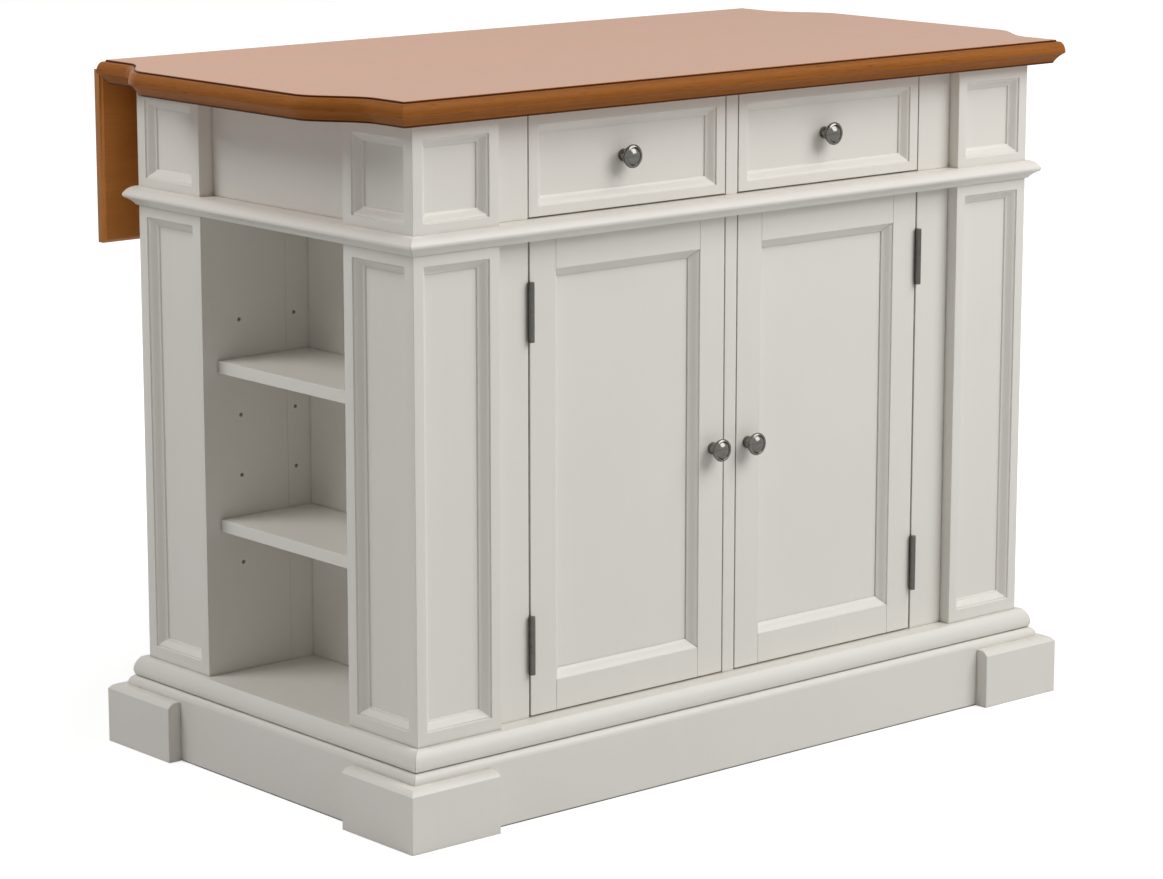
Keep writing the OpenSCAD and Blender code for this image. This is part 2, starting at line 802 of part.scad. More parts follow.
// Door frame in one piece, before it is split into stiles and rails
module door_blank() {
    groove_w = window_w + 2 * panel_tongue;
    groove_h = window_h + 2 * panel_tongue;
    difference() {
        block([door_x0, face_y, door_z0], [door_x1, face_y + door_t, door_z1]);
        translate(door_mid) {
            recess(door_w - 2 * door_stile_w, door_h - 2 * door_rail_w, recess_depth);
            block([-window_w / 2, 0, -window_h / 2], [window_w / 2, door_t + cut, window_h / 2]);
            block([-groove_w / 2, recess_depth, -groove_h / 2],
                [groove_w / 2, recess_depth + door_panel_t + loose, groove_h / 2]);
        }
        facing_front(door_knob_x, face_y, door_mid[2]) screw_bore(door_t);
    }
}

mitre_len = sticking_w + 3;                          // length of the mitre of stile and rail

// Outlines of a stile and of a rail, mitred where their mouldings meet
stile_outline = let (s = door_stile_w, r = door_rail_w, m = mitre_len)
    [[0, 0], [s, 0], [s, r], [s + m, r + m], [s + m, door_h - r - m], [s, door_h - r], [s, door_h],
        [0, door_h]];
rail_outline = let (s = door_stile_w, g = joint_line, r = door_rail_w, m = mitre_len)
    [[s + g, 0], [door_w - s - g, 0], [door_w - s - g, r], [door_w - s - m, r + m],
        [s + m, r + m], [s + g, r]];

module door_member(outline) {
    intersection() {
        door_blank();
        along_y(face_y - cut, face_y + door_t + cut) polygon(outline);
    }
}

module door_frame(side) {
    left = [for (p = stile_outline) [door_x0 + p[0], door_z0 + p[1]]];
    right = [for (p = stile_outline) [door_x1 - p[0], door_z0 + p[1]]];
    low = [for (p = rail_outline) [door_x0 + p[0], door_z0 + p[1]]];
    high = [for (p = rail_outline) [door_x0 + p[0], door_z1 - p[1]]];
    color(paint) on_side(side) for (outline = [left, right, low, high]) door_member(outline);
}

module door_panel(side) {
    w = window_w + 2 * panel_tongue - 2 * loose;
    h = window_h + 2 * panel_tongue - 2 * loose;
    color(paint) on_side(side) translate(door_mid)
        block([-w / 2, recess_depth, -h / 2], [w / 2, recess_depth + door_panel_t, h / 2]);
}

module door_knob(side) {
    color(pewter) on_side(side) facing_front(door_knob_x, face_y, door_mid[2]) {
        knob();
        knob_screw(door_t);
    }
}

hinge_mid_z = [door_z0 + low_hinge_rise, door_z1 - high_hinge_drop];
hinge_pin_r = 2;
barrel_split = 0.3;                                  // gap between the knuckles of a barrel
leaf_depth = 24;                                     // reach of a hinge plate into the gap
plate_t = hinge_gap / 2 - plate_play;                // two plates fill the gap beside the door
hinge_cap = 4;                                       // solid end of the bored knuckle
hinge_pin_end = 5;                                   // pin's end below the top of that knuckle
catch_gap = 0.3;
catch_w = 34;
catch_x = 45;
catch_depth = 16;
catch_h = 18;
strike_t = 1.2;
strike_drop = 4;                                     // strike below the door's upper edge

module at_hinges() {
    for (z = hinge_mid_z) translate([hinge_axis_x, hinge_axis_y, z]) children();
}

// Knuckle with its plate; edge is the side of the plate next to the wood
module door_hinge_leaf(z0, z1, edge) {
    inner = edge > 0 ? edge - plate_t : edge;
    outer = inner + plate_t;
    wing_y = face_y - hinge_axis_y;
    translate([0, 0, z0]) cylinder(r = door_barrel_r, h = z1 - z0);
    block([inner, 0, z0], [outer, wing_y + cut, z1]);
    block([inner, wing_y, -door_hinge_len / 2], [outer, wing_y + leaf_depth, door_hinge_len / 2]);
}

// Leaves on the face frame: lower knuckle with the pin
module door_hinge_frame_leaves() {
    half = door_hinge_len / 2;
    color(pewter) both_x() at_hinges() {
        door_hinge_leaf(-half, -barrel_split / 2, hinge_gap / 2);
        translate([0, 0, -cut]) cylinder(r = hinge_pin_r, h = half - hinge_pin_end + cut);
    }
}

// Leaves on the door: upper knuckle with the bore, and the strike of the catch
module door_fittings(side) {
    half = door_hinge_len / 2;
    back = face_y + door_t;
    color(pewter) on_side(side) {
        at_hinges() difference() {
            door_hinge_leaf(barrel_split / 2, half, -hinge_gap / 2);
            translate([0, 0, -cut]) cylinder(r = hinge_pin_r + fit, h = half - hinge_cap + cut);
        }
        block([catch_x, back, door_z1 - catch_h],
            [catch_x + catch_w, back + strike_t, door_z1 - strike_drop]);
    }
}

// Magnetic catches under the deck
module door_catches() {
    y0 = face_y + door_t + strike_t + catch_gap;
    color(plywood) both_x()
        block([catch_x, y0, belt_z - catch_h], [catch_x + catch_w, y0 + catch_depth, belt_z]);
}

// ---------------------------------------------------------------- drawers

box_y1 = box_y0 + drawer_len;
groove_rise = 6;                                    // bottom's groove over the box's lower edge
groove_z = box_z0 + groove_rise;
groove_d = drawer_side_t / 2;
drawer_knob_x = (drawer_x0 + drawer_x1) / 2;
drawer_knob_z = (drawer_z0 + drawer_margin_low + drawer_z1 - drawer_margin_top) / 2;
drawer_board = drawer_front_t - drawer_recess;      // wood behind the recess

module drawer_front(side) {
    color(paint) on_side(side) difference() {
        block([drawer_x0, face_y, drawer_z0], [drawer_x1, box_y0, drawer_z1]);
        translate([0, face_y, 0]) recess_between(drawer_x0 + drawer_margin, drawer_x1 - drawer_margin,
            drawer_z0 + drawer_margin_low, drawer_z1 - drawer_margin_top, drawer_recess);
        facing_front(drawer_knob_x, face_y + drawer_recess, drawer_knob_z) screw_bore(drawer_board);
    }
}

// Bottom panel of a drawer, grown by a clearance when it cuts its groove
module drawer_bottom_blank(play) {
    block([box_x0 + drawer_side_t - groove_d + loose - play, box_y0 + groove_d + loose - play,
            groove_z - play / 2],
        [box_x1 - drawer_side_t + groove_d - loose + play, box_y1 - groove_d - loose + play,
            groove_z + drawer_bottom_t + play / 2]);
}

module drawer_box(side) {
    x0 = box_x0 + drawer_side_t;
    x1 = box_x1 - drawer_side_t;
    color(plywood) on_side(side) difference() {
        union() {
            block([box_x0, box_y0, box_z0], [x0, box_y1, box_z1]);
            block([x1, box_y0, box_z0], [box_x1, box_y1, box_z1]);
            for (y = [box_y0, box_y1 - drawer_side_t])
                block([x0 + fit, y, box_z0], [x1 - fit, y + drawer_side_t, box_z1]);
        }
        drawer_bottom_blank(loose);
        facing_front(drawer_knob_x, box_y0, drawer_knob_z) screw_bore(drawer_side_t);
    }
}

module drawer_bottom(side) {
    color(plywood) on_side(side) drawer_bottom_blank(0);
}

module drawer_knob(side) {
    color(pewter) on_side(side) facing_front(drawer_knob_x, face_y + drawer_recess, drawer_knob_z) {
        knob();
        knob_screw(drawer_board + drawer_side_t);
    }
}

module drawer_runners(side) {
    color(steel) on_side(side) translate([0, 0, runner_z]) {
        translate([box_x0, 0, 0]) mirror([1, 0, 0]) moving_runner();
        translate([box_x1, 0, 0]) moving_runner();
    }
}

// ---------------------------------------------------------------- drop leaf

leaf_bottom = leaf_top - leaf_w;
leaf_round = 3;
leaf_bevel_y = 3;
leaf_bevel_top = 9;
leaf_bevel_low = 4;
notch_r = knuckle_r + 2 * knuckle_play;
segment = leaf_hinge_w / 3;                         // length of one knuckle
plate_drop = 37;                                    // reach of the leaf's hinge plate
notch_end = 0.5;                                    // notch past the ends of the knuckles
leaf_pin_r = 1.5;                                   // pin of a leaf hinge
plate_inset = 1.5;                                  // fixed plate behind the faces of the posts
slot_drop = 0.6;                                    // room under the moving knuckle

module at_leaf_hinges() {
    for (x = [-leaf_hinge_x, 0, leaf_hinge_x]) translate([x, leaf_y, axis_z]) children();
}

// Rounded corner of an outline: from the first face to the second
function rounded(corner, to_first, to_second, r) =
    [for (a = [0:30:90]) corner + to_first * r * (1 - sin(a)) + to_second * r * (1 - cos(a))];

module leaf_board() {
    y0 = leaf_y;
    y1 = leaf_y + leaf_t;
    x1 = leaf_half;
    intersection() {
        along_x(-x1, x1) polygon(concat(
            [[y0, leaf_top - leaf_bevel_top], [y0, leaf_bottom + leaf_bevel_low],
                [y0 + leaf_bevel_y, leaf_bottom]],
            rounded([y1, leaf_bottom], [-1, 0], [0, 1], leaf_round),
            rounded([y1, leaf_top], [0, -1], [-1, 0], leaf_round),
            [[y0 + leaf_bevel_y, leaf_top]]
        ));
        translate([0, 0, leaf_bottom - cut]) linear_extrude(leaf_w + 2 * cut) polygon(concat(
            [[-x1 + leaf_bevel_low, y0], [x1 - leaf_bevel_low, y0], [x1, y0 + leaf_bevel_y]],
            rounded([x1, y1], [0, -1], [-1, 0], leaf_round),
            rounded([-x1, y1], [1, 0], [0, -1], leaf_round),
            [[-x1, y0 + leaf_bevel_y]]
        ));
    }
}

module drop_leaf() {
    color(wood) difference() {
        leaf_board();
        at_leaf_hinges() {
            along_x(-leaf_hinge_w / 2 - notch_end, leaf_hinge_w / 2 + notch_end) circle(notch_r);
            block([-leaf_hinge_w / 2, -cut, -plate_drop], [leaf_hinge_w / 2, hinge_plate_t, 0]);
        }
    }
}

// Cranked plates under the top, with the outer knuckles and the pins
module leaf_hinge_fixed() {
    half = leaf_hinge_w / 2;
    seat_z = carcass_z - axis_z;
    under_y = half_d + plate_inset - leaf_y;
    slot = segment / 2 + knuckle_play;
    color(pewter) at_leaf_hinges() {
        difference() {
            union() {
                block([-half, under_y, seat_z - hinge_plate_t], [half, -knuckle_r + hinge_plate_t, seat_z]);
                block([-half, -knuckle_r, seat_z - hinge_plate_t], [half, -knuckle_r + hinge_plate_t, 0]);
                for (s = [-1, 1]) translate([s * segment, 0, 0])
                    along_x(-segment / 2, segment / 2) circle(knuckle_r);
            }
            block([-slot, -knuckle_r - cut, -knuckle_r - slot_drop], [slot, knuckle_r, knuckle_r + cut]);
            along_x(-half - cut, half + cut) circle(leaf_pin_r + fit);
        }
        along_x(-half, half) circle(leaf_pin_r);
    }
}

// Plates let into the leaf, with the middle knuckles
module leaf_hinge_moving() {
    half = leaf_hinge_w / 2;
    tongue = segment / 2 - knuckle_play;
    color(pewter) at_leaf_hinges() difference() {
        union() {
            block([-half, 0, -plate_drop], [half, hinge_plate_t, -notch_r]);
            block([-tongue, 0, -notch_r - cut], [tongue, hinge_plate_t, 0]);
            along_x(-tongue, tongue) circle(knuckle_r);
        }
        along_x(-half, half) circle(leaf_pin_r + fit);
    }
}

// ---------------------------------------------------------------- folding supports

cheek_r = hub_r - 1;                                 // rounding of a bracket's cheek
bracket_rise = 2;                                    // plate over the top of the hub
bracket_z1 = pivot_z + hub_r + bracket_rise;
bracket_z0 = bracket_z1 - bracket_h;
cheek_back = 5;                                      // cheek behind the lever's pin
cheek_drop = 7;                                      // and below it
cheek_heel = 12;                                     // cheek below the lever's pin at the plate
pin_head_t = 1.5;                                    // thickness and reach of a pin's head
pin_head_reach = 1.6;
lever_pin_r = 2;
lever_hub_r = 4.6;
lever_tail = 22;                                     // tail of the lever below its pin
lever_tail_t = 2.4;                                  // thickness of the tail
lever_root = 5;                                      // front of the tail before the pin
lever_rise = 8;                                      // back of the lever over its pin
nose_t = 4;                                          // thickness of the lever's nose
notch_depth = 2;
notch_w = 5;
lever_w = arm_w - 5;
nose_angle = 206.6;                                  // where the lever meets the hub
nose_at = [pivot_y, pivot_z] + (hub_r + latch_play) * [cos(nose_angle), sin(nose_angle)];
arm_step = 9;                                        // depth of the steps at the arm's ends
arm_lip = 7;                                         // upper end of the flange, along Y
arm_neck = 5;                                        // neck of the arm over its channel
spring_wire = 1.4;                                   // thickness of a spring's turns
spring_leg = 1.2;                                    // width of a spring's leg
spring_gap = 0.3;                                    // spring to the lever and to the cheek

module at_supports() {
    both_x() translate([arm_x, 0, 0]) children();
}

// Pressed bracket: a plate on the back of the cabinet and two cheeks
module support_brackets() {
    inner = bracket_gap / 2;
    color(steel) at_supports() difference() {
        union() {
            block([-bracket_w / 2, back_y, bracket_z0], [bracket_w / 2, back_y + bracket_t, bracket_z1]);
            both_x() along_x(inner, inner + bracket_t) polygon([
                [back_y, pivot_z + cheek_r], [pivot_y, pivot_z + cheek_r], [pivot_y, pivot_z - cheek_r],
                [lever_y + cheek_back, lever_z - cheek_drop], [back_y, lever_z - cheek_heel]
            ]);
            both_x() along_x(inner, inner + bracket_t) translate([pivot_y, pivot_z]) circle(cheek_r);
        }
        along_x(-bracket_w, bracket_w) translate([pivot_y, pivot_z]) circle(arm_pin_r + fit);
        along_x(-bracket_w, bracket_w) translate([lever_y, lever_z]) circle(lever_pin_r + fit);
    }
}

// Pin through both cheeks, headed at both ends
module headed_pin(r, y, z) {
    end = bracket_gap / 2 + bracket_t;
    translate([0, y, z]) {
        along_x(-end, end) circle(r);
        both_x() along_x(end, end + pin_head_t) circle(r + pin_head_reach);
    }
}

module support_pins() {
    color(steel) at_supports() {
        headed_pin(arm_pin_r, pivot_y, pivot_z);
        headed_pin(lever_pin_r, lever_y, lever_z);
    }
}

// Channel-section arm with its hub; rest is hanging flat against the leaf
module support_arm(side) {
    half = arm_w / 2;
    low = pivot_z - arm_len;
    high = low + channel_len;                        // upper end of the channel
    front_y = pivot_y - hub_r + bracket_rise;        // front of the neck
    root_y = pivot_y + hub_r + 1;                    // back of the channel
    notch_angle = nose_angle - 90;                   // it faces the lever when the arm is up
    color(steel) on_side(side) translate([arm_x, 0, 0]) difference() {
        union() {
            both_x() along_x(half - steel_t, half) polygon([
                [front_y, pivot_z], [front_y, high + arm_neck], [root_y, high - arm_w + 1],
                [root_y + arm_step, low], [flange_y, low], [flange_y, high],
                [flange_y - arm_lip, high], [root_y, high + arm_step], [pivot_y + hub_r, pivot_z]
            ]);
            block([-half, flange_y - steel_t, low], [half, flange_y, high]);
            along_x(-half, half) translate([pivot_y, pivot_z]) circle(hub_r);
        }
        along_x(-half - cut, half + cut) translate([pivot_y, pivot_z]) circle(arm_pin_r + fit);
        along_x(-half - cut, half + cut) translate([pivot_y, pivot_z]) rotate(notch_angle)
            translate([hub_r - notch_depth, -notch_w / 2]) square([notch_depth + cut, notch_w]);
    }
}

// Sprung lever whose nose rests beside the hub
module release_lever(side) {
    tail_z = lever_z - lever_tail;
    color(steel) on_side(side) translate([arm_x, 0, 0]) difference() {
        union() {
            along_x(-lever_w / 2, lever_w / 2) translate([lever_y, lever_z]) circle(lever_hub_r);
            along_x(-lever_w / 2, lever_w / 2) polygon([
                nose_at, [lever_y + lever_hub_r - 0.2, lever_z + 1],
                [lever_y - 0.6, lever_z - lever_hub_r + 0.2],
                [lever_y - lever_root + lever_tail_t, tail_z], [lever_y - lever_root, tail_z],
                [lever_y - lever_hub_r, lever_z], [lever_y - 1, lever_z + lever_rise],
                [nose_at[0] - nose_t, nose_at[1] + 0.5]
            ]);
        }
        along_x(-lever_w, lever_w) translate([lever_y, lever_z]) circle(lever_pin_r + fit);
    }
}

// Torsion springs beside the levers, on the same pins
module lever_springs() {
    x0 = lever_w / 2 + spring_gap;
    x1 = bracket_gap / 2 - spring_gap;
    foot_z = lever_z - lever_tail / 2 - 3;           // where the leg meets the bracket
    color(steel) at_supports() along_x(x0, x1) {
        translate([lever_y, lever_z]) difference() {
            circle(lever_pin_r + spring_wire + 0.1);
            circle(lever_pin_r + 0.1);
        }
        polygon([[lever_y - 1, lever_z - 3], [back_y + bracket_t, foot_z],
            [back_y + bracket_t, foot_z + spring_leg], [lever_y - 2, lever_z - 2.4]]);
    }
}

// ---------------------------------------------------------------- nodes

countertop();
post("left", false);  // post_front_left
post("right", false);  // post_front_right
post("left", true);  // post_rear_left
post("right", true);  // post_rear_right
floor_board();
partition("left");  // partition_left
partition("right");  // partition_right
bay_cheeks();
bay_ceilings();
end_frieze_panels();
face_frame();
front_mid_rail();
back_mid_rail();
back_board(bay_floor_z, belt_z);  // back_panel
back_board(belt_top, carcass_z);  // back_frieze_panel
belt_moulding();
base_moulding();
plinth_rails();
plinth_blocks();
feet();
drawer_deck();
drawer_divider();
top_stretchers();
runner_packers();
cabinet_runners();
cupboard_shelf();
bay_shelves();
shelf_pins();
door_hinge_frame_leaves();
door_catches();
leaf_hinge_fixed();
support_brackets();
support_pins();
lever_springs();
door_frame("left");  // door_left_frame
door_panel("left");  // door_left_panel
door_knob("left");  // door_left_knob
door_fittings("left");  // door_left_fittings
door_frame("right");  // door_right_frame
door_panel("right");  // door_right_panel
door_knob("right");  // door_right_knob
door_fittings("right");  // door_right_fittings
drawer_front("left");  // drawer_left_front
drawer_box("left");  // drawer_left_box
drawer_bottom("left");  // drawer_left_bottom
drawer_knob("left");  // drawer_left_knob
drawer_runners("left");  // drawer_left_runners
drawer_front("right");  // drawer_right_front
drawer_box("right");  // drawer_right_box
drawer_bottom("right");  // drawer_right_bottom
drawer_knob("right");  // drawer_right_knob
drawer_runners("right");  // drawer_right_runners
drop_leaf();
leaf_hinge_moving();
support_arm("left");  // support_arm_left
support_arm("right");  // support_arm_right
release_lever("left");  // release_lever_left
release_lever("right");  // release_lever_right
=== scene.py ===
"""Finishes and fine detail of a drop leaf kitchen island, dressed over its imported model.

Every length is in metres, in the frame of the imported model: +Z is up, the doors face -Y, and the
origin is on the floor at the middle of the cabinet.
"""

import json
import logging
import math
from abc import ABC, abstractmethod
from collections.abc import Callable, Sequence
from dataclasses import dataclass
from enum import Enum
from typing import ClassVar

import bpy
from mathutils import Matrix, Vector


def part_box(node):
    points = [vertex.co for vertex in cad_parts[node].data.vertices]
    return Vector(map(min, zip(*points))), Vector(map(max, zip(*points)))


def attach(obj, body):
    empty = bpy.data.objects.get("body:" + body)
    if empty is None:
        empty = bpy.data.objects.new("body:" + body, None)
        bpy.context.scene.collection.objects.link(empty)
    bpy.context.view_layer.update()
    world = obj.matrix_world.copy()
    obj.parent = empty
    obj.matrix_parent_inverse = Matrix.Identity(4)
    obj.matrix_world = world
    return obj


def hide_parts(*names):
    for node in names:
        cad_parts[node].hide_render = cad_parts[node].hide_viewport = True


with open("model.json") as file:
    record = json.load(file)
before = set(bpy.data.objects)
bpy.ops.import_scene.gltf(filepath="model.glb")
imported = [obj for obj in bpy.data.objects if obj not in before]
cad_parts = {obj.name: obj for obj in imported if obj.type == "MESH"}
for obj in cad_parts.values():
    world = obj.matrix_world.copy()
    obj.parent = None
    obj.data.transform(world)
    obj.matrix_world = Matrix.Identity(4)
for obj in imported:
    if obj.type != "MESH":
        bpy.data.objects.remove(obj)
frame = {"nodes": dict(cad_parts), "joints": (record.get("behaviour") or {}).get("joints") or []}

Flat = tuple[float, float]
Triple = tuple[float, float, float]
Socket = bpy.types.NodeSocket

LOG = logging.getLogger("island")
MM = 0.001
CABINET = "cabinet"
FULL: Flat = (0.0, 1.0)
WHITE = (1.0, 1.0, 1.0, 1.0)

ARRIS_ANGLE = math.radians(32)      # edges sharper than this are rounded
ARRIS_STEPS = 2                     # flats across a rounded edge
FACE_WEIGHT = 100                   # share of large faces in the shading beside a rounded edge
WELD_REACH = 0.004 * MM             # points closer than this are one point
FLAT_ANGLE = math.radians(0.4)      # faces that bend less than this become one face


# ------------------------------------------------------------------------------- named options


class Side(Enum):
    """The two mirrored halves of the island, by the sign of their X."""

    LEFT = -1
    RIGHT = 1

    @property
    def word(self) -> str:
        """The side as it stands in the names of nodes and bodies."""
        return self.name.lower()


class Slot(Enum):
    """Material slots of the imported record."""

    STAINED_WOOD = "stained_wood"
    PAINTED_WOOD = "painted_wood"
    PEWTER = "pewter"
    ZINC_STEEL = "zinc_steel"


# --------------------------------------------------------------------------------- node graphs


def linear(red: int, green: int, blue: int) -> Triple:
    """Turn a display colour, with channels from 0 to 255, into the linear colour of shaders."""
    parts = (c / 255 for c in (red, green, blue))
    return tuple(c / 12.92 if c <= 0.04045 else ((c + 0.055) / 1.055) ** 2.4 for c in parts)


class Graph:
    """Places and links nodes in one node tree."""

    mix_inputs = (0, 6, 7)      # the factor and the two colours of a Mix node
    mix_output = 2              # its mixed colour

    def __init__(self, tree: bpy.types.NodeTree) -> None:
        """Work on the node tree of a material, a group or the world."""
        self.tree = tree

    def add(self, kind: str, **settings: object) -> bpy.types.Node:
        """Place a node.

        Args:
            kind: Blender's name of the node's type.
            settings: attributes to set on the node.

        Returns:
            The new node.
        """
        node = self.tree.nodes.new(kind)
        for key, value in settings.items():
            setattr(node, key, value)
        return node

    def feed(self, socket: Socket, value: object) -> None:
        """Link a socket to another socket, or set its own value.

        Args:
            socket: the input to feed.
            value: an output socket, a number or a tuple.
        """
        if isinstance(value, Socket):
            self.tree.links.new(value, socket)
        else:
            socket.default_value = value

    def supply(self, node: bpy.types.Node, **values: object) -> bpy.types.Node:
        """Feed a node's inputs by name.

        Args:
            node: the node.
            values: what each input gets, with an underscore for each space in its name.

        Returns:
            The same node.
        """
        for name, value in values.items():
            self.feed(node.inputs[name.replace("_", " ")], value)
        return node

    def maths(self, operation: str, first: object, second: object = 0.0, clamp: bool = False) -> Socket:
        """Combine two numbers.

        Args:
            operation: Blender's name of the operation.
            first, second: numbers or sockets.
            clamp: whether the result is held between 0 and 1.

        Returns:
            The result's socket.
        """
        node = self.add("ShaderNodeMath", operation=operation, use_clamp=clamp)
        self.feed(node.inputs[0], first)
        self.feed(node.inputs[1], second)
        return node.outputs[0]

    def plus(self, total: object, value: object, share: object) -> Socket:
        """Return the socket of a total with a share of a value added to it."""
        return self.maths("ADD", total, self.maths("MULTIPLY", value, share))

    def stretch(self, vector: Socket, factors: Triple) -> Socket:
        """Multiply a vector part by part.

        Args:
            vector: the vector's socket.
            factors: one factor for each axis.

        Returns:
            The stretched vector's socket.
        """
        node = self.add("ShaderNodeVectorMath", operation="MULTIPLY")
        self.feed(node.inputs[0], vector)
        self.feed(node.inputs[1], factors)
        return node.outputs[0]

    def parts(self, vector: Socket) -> list[Socket]:
        """Split a vector.

        Args:
            vector: the vector's socket.

        Returns:
            The sockets of its X, Y and Z.
        """
        node = self.add("ShaderNodeSeparateXYZ")
        self.feed(node.inputs[0], vector)
        return list(node.outputs)

    def noise(self, vector: Socket, cells: float | Triple, detail: float = 2.0,
              distortion: float = 0.0) -> Socket:
        """Sample a noise texture.

        Args:
            vector: where to sample.
            cells: noise cells for each metre, as one number or as one for each axis.
            detail: number of finer layers.
            distortion: how much the noise is warped.

        Returns:
            The noise value's socket.
        """
        if isinstance(cells, tuple):
            vector, cells = self.stretch(vector, cells), 1.0
        node = self.add("ShaderNodeTexNoise")
        self.supply(node, Vector=vector, Scale=cells, Detail=detail, Distortion=distortion)
        return node.outputs["Fac"]

    def remap(self, value: Socket, source: Flat, target: Flat = FULL) -> Socket:
        """Map one range of values onto another, held at its ends.

        Args:
            value: the value's socket.
            source: range that the value comes from.
            target: range that it goes to.

        Returns:
            The mapped value's socket.
        """
        node = self.add("ShaderNodeMapRange")
        self.supply(node, Value=value, From_Min=source[0], From_Max=source[1],
                    To_Min=target[0], To_Max=target[1])
        return node.outputs["Result"]

    def blend(self, factor: object, first: object, second: object) -> Socket:
        """Mix two colours.

        Args:
            factor: share of the second colour.
            first, second: colours or sockets.

        Returns:
            The mixed colour's socket.
        """
        node = self.add("ShaderNodeMix", data_type="RGBA")
        colours = [c if isinstance(c, Socket) else (*c, 1.0) for c in (first, second)]
        for index, value in zip(self.mix_inputs, (factor, *colours)):
            self.feed(node.inputs[index], value)
        return node.outputs[self.mix_output]

    def tint(self, base: object, other: object, mask: Socket, share: float) -> Socket:
        """Return the socket of a colour with a share of another colour laid over it in a mask."""
        return self.blend(self.maths("MULTIPLY", mask, share), base, other)

    def bump(self, height: Socket, depth: float, strength: float) -> Socket:
        """Turn a height into a normal.

        Args:
            height: the height's socket, from 0 to 1.
            depth: real depth of a height of 1.
            strength: share of the effect.

        Returns:
            The normal's socket.
        """
        node = self.add("ShaderNodeBump")
        self.supply(node, Strength=strength, Distance=depth, Height=height)
        return node.outputs["Normal"]


@dataclass(frozen=True)
class Effect(ABC):
    """A shader node group that is built once and placed in many materials."""

    name: ClassVar[str]
    inputs: ClassVar[dict[str, float | str]]    # a default number for each, or the word vector
    outputs: ClassVar[tuple[str, ...]]

    @abstractmethod
    def wire(self, graph: Graph, given: bpy.types.Node) -> dict[str, Socket]:
        """Build the inside of the group from its input node, and return a socket for each output."""

    def tree(self) -> bpy.types.NodeTree:
        """Build the group, or find it if it's there.

        Returns:
            The group's node tree.
        """
        found = bpy.data.node_groups.get(self.name)
        if found:
            return found
        tree = bpy.data.node_groups.new(self.name, "ShaderNodeTree")
        for name, default in self.inputs.items():
            kind = "NodeSocketVector" if default == "vector" else "NodeSocketFloat"
            socket = tree.interface.new_socket(name=name, in_out="INPUT", socket_type=kind)
            if kind == "NodeSocketFloat":
                socket.default_value = default
        for name in self.outputs:
            tree.interface.new_socket(name=name, in_out="OUTPUT", socket_type="NodeSocketFloat")
        graph = Graph(tree)
        given = graph.add("NodeGroupInput")
        graph.supply(graph.add("NodeGroupOutput"), **self.wire(graph, given))
        return tree

    def place(self, graph: Graph, **values: object) -> dict[str, Socket]:
        """Place the group in a material, feed its inputs and return its outputs by name."""
        node = graph.supply(graph.add("ShaderNodeGroup", node_tree=self.tree()), **values)
        return {name: node.outputs[name] for name in self.outputs}


@dataclass(frozen=True)
class WoodGrain(Effect):
    """Glued-up boards whose grain runs along X: growth lines, fibres and pores."""

    name = "wood_grain"
    inputs = {"Vector": "vector", "Board Width": 0.09, "Board Contrast": 0.35, "Seed": 0.0}
    outputs = ("Tone", "Pores", "Height")

    board_shift: Triple = (9.0, 0.7, 0.3)
    slow_cells: Triple = (1.1, 16.0, 16.0)
    fibre_cells: Triple = (14.0, 520.0, 520.0)
    pore_cells: Triple = (45.0, 1300.0, 1300.0)
    line_stretch: Triple = (0.05, 1.0, 1.0)
    slow_share: float = 0.42
    line_share: float = 0.26
    fibre_share: float = 0.32
    fibre_rise: float = 0.4
    pore_range: Flat = (0.60, 0.72)

    def wire(self, graph: Graph, given: bpy.types.Node) -> dict[str, Socket]:
        """Build the boards, then the lines in them.

        Args:
            graph: the group's graph.
            given: the group's input node.

        Returns:
            A socket for each named output.
        """
        vector = given.outputs["Vector"]
        across = graph.maths("DIVIDE", graph.parts(vector)[1], given.outputs["Board Width"])
        board = graph.maths("ADD", graph.maths("FLOOR", across), given.outputs["Seed"])
        chance = graph.supply(graph.add("ShaderNodeTexWhiteNoise", noise_dimensions="1D"), W=board)
        moved = graph.add("ShaderNodeVectorMath", operation="ADD")
        graph.feed(moved.inputs[0], vector)
        graph.feed(moved.inputs[1], graph.stretch(chance.outputs["Color"], self.board_shift))
        place = moved.outputs[0]
        slow = graph.noise(place, self.slow_cells, detail=3.0, distortion=0.6)
        lines = graph.add("ShaderNodeTexWave", wave_type="BANDS", bands_direction="Y")
        graph.supply(lines, Vector=graph.stretch(place, self.line_stretch), Scale=17.0, Distortion=7.0,
                     Detail=2.0, Detail_Scale=0.7)
        fibre = graph.noise(place, self.fibre_cells)
        pores = graph.noise(place, self.pore_cells, detail=1.0)
        spread = graph.maths("SUBTRACT", chance.outputs["Value"], 0.5)
        tone = graph.maths("MULTIPLY", spread, given.outputs["Board Contrast"])
        for source, share in ((slow, self.slow_share), (lines.outputs["Fac"], self.line_share),
                              (fibre, self.fibre_share)):
            tone = graph.plus(tone, source, share)
        pits = graph.remap(pores, self.pore_range)
        height = graph.maths("SUBTRACT", graph.maths("MULTIPLY", fibre, self.fibre_rise), pits)
        return {"Tone": graph.maths("ADD", tone, 0.0, clamp=True), "Pores": pits, "Height": height}


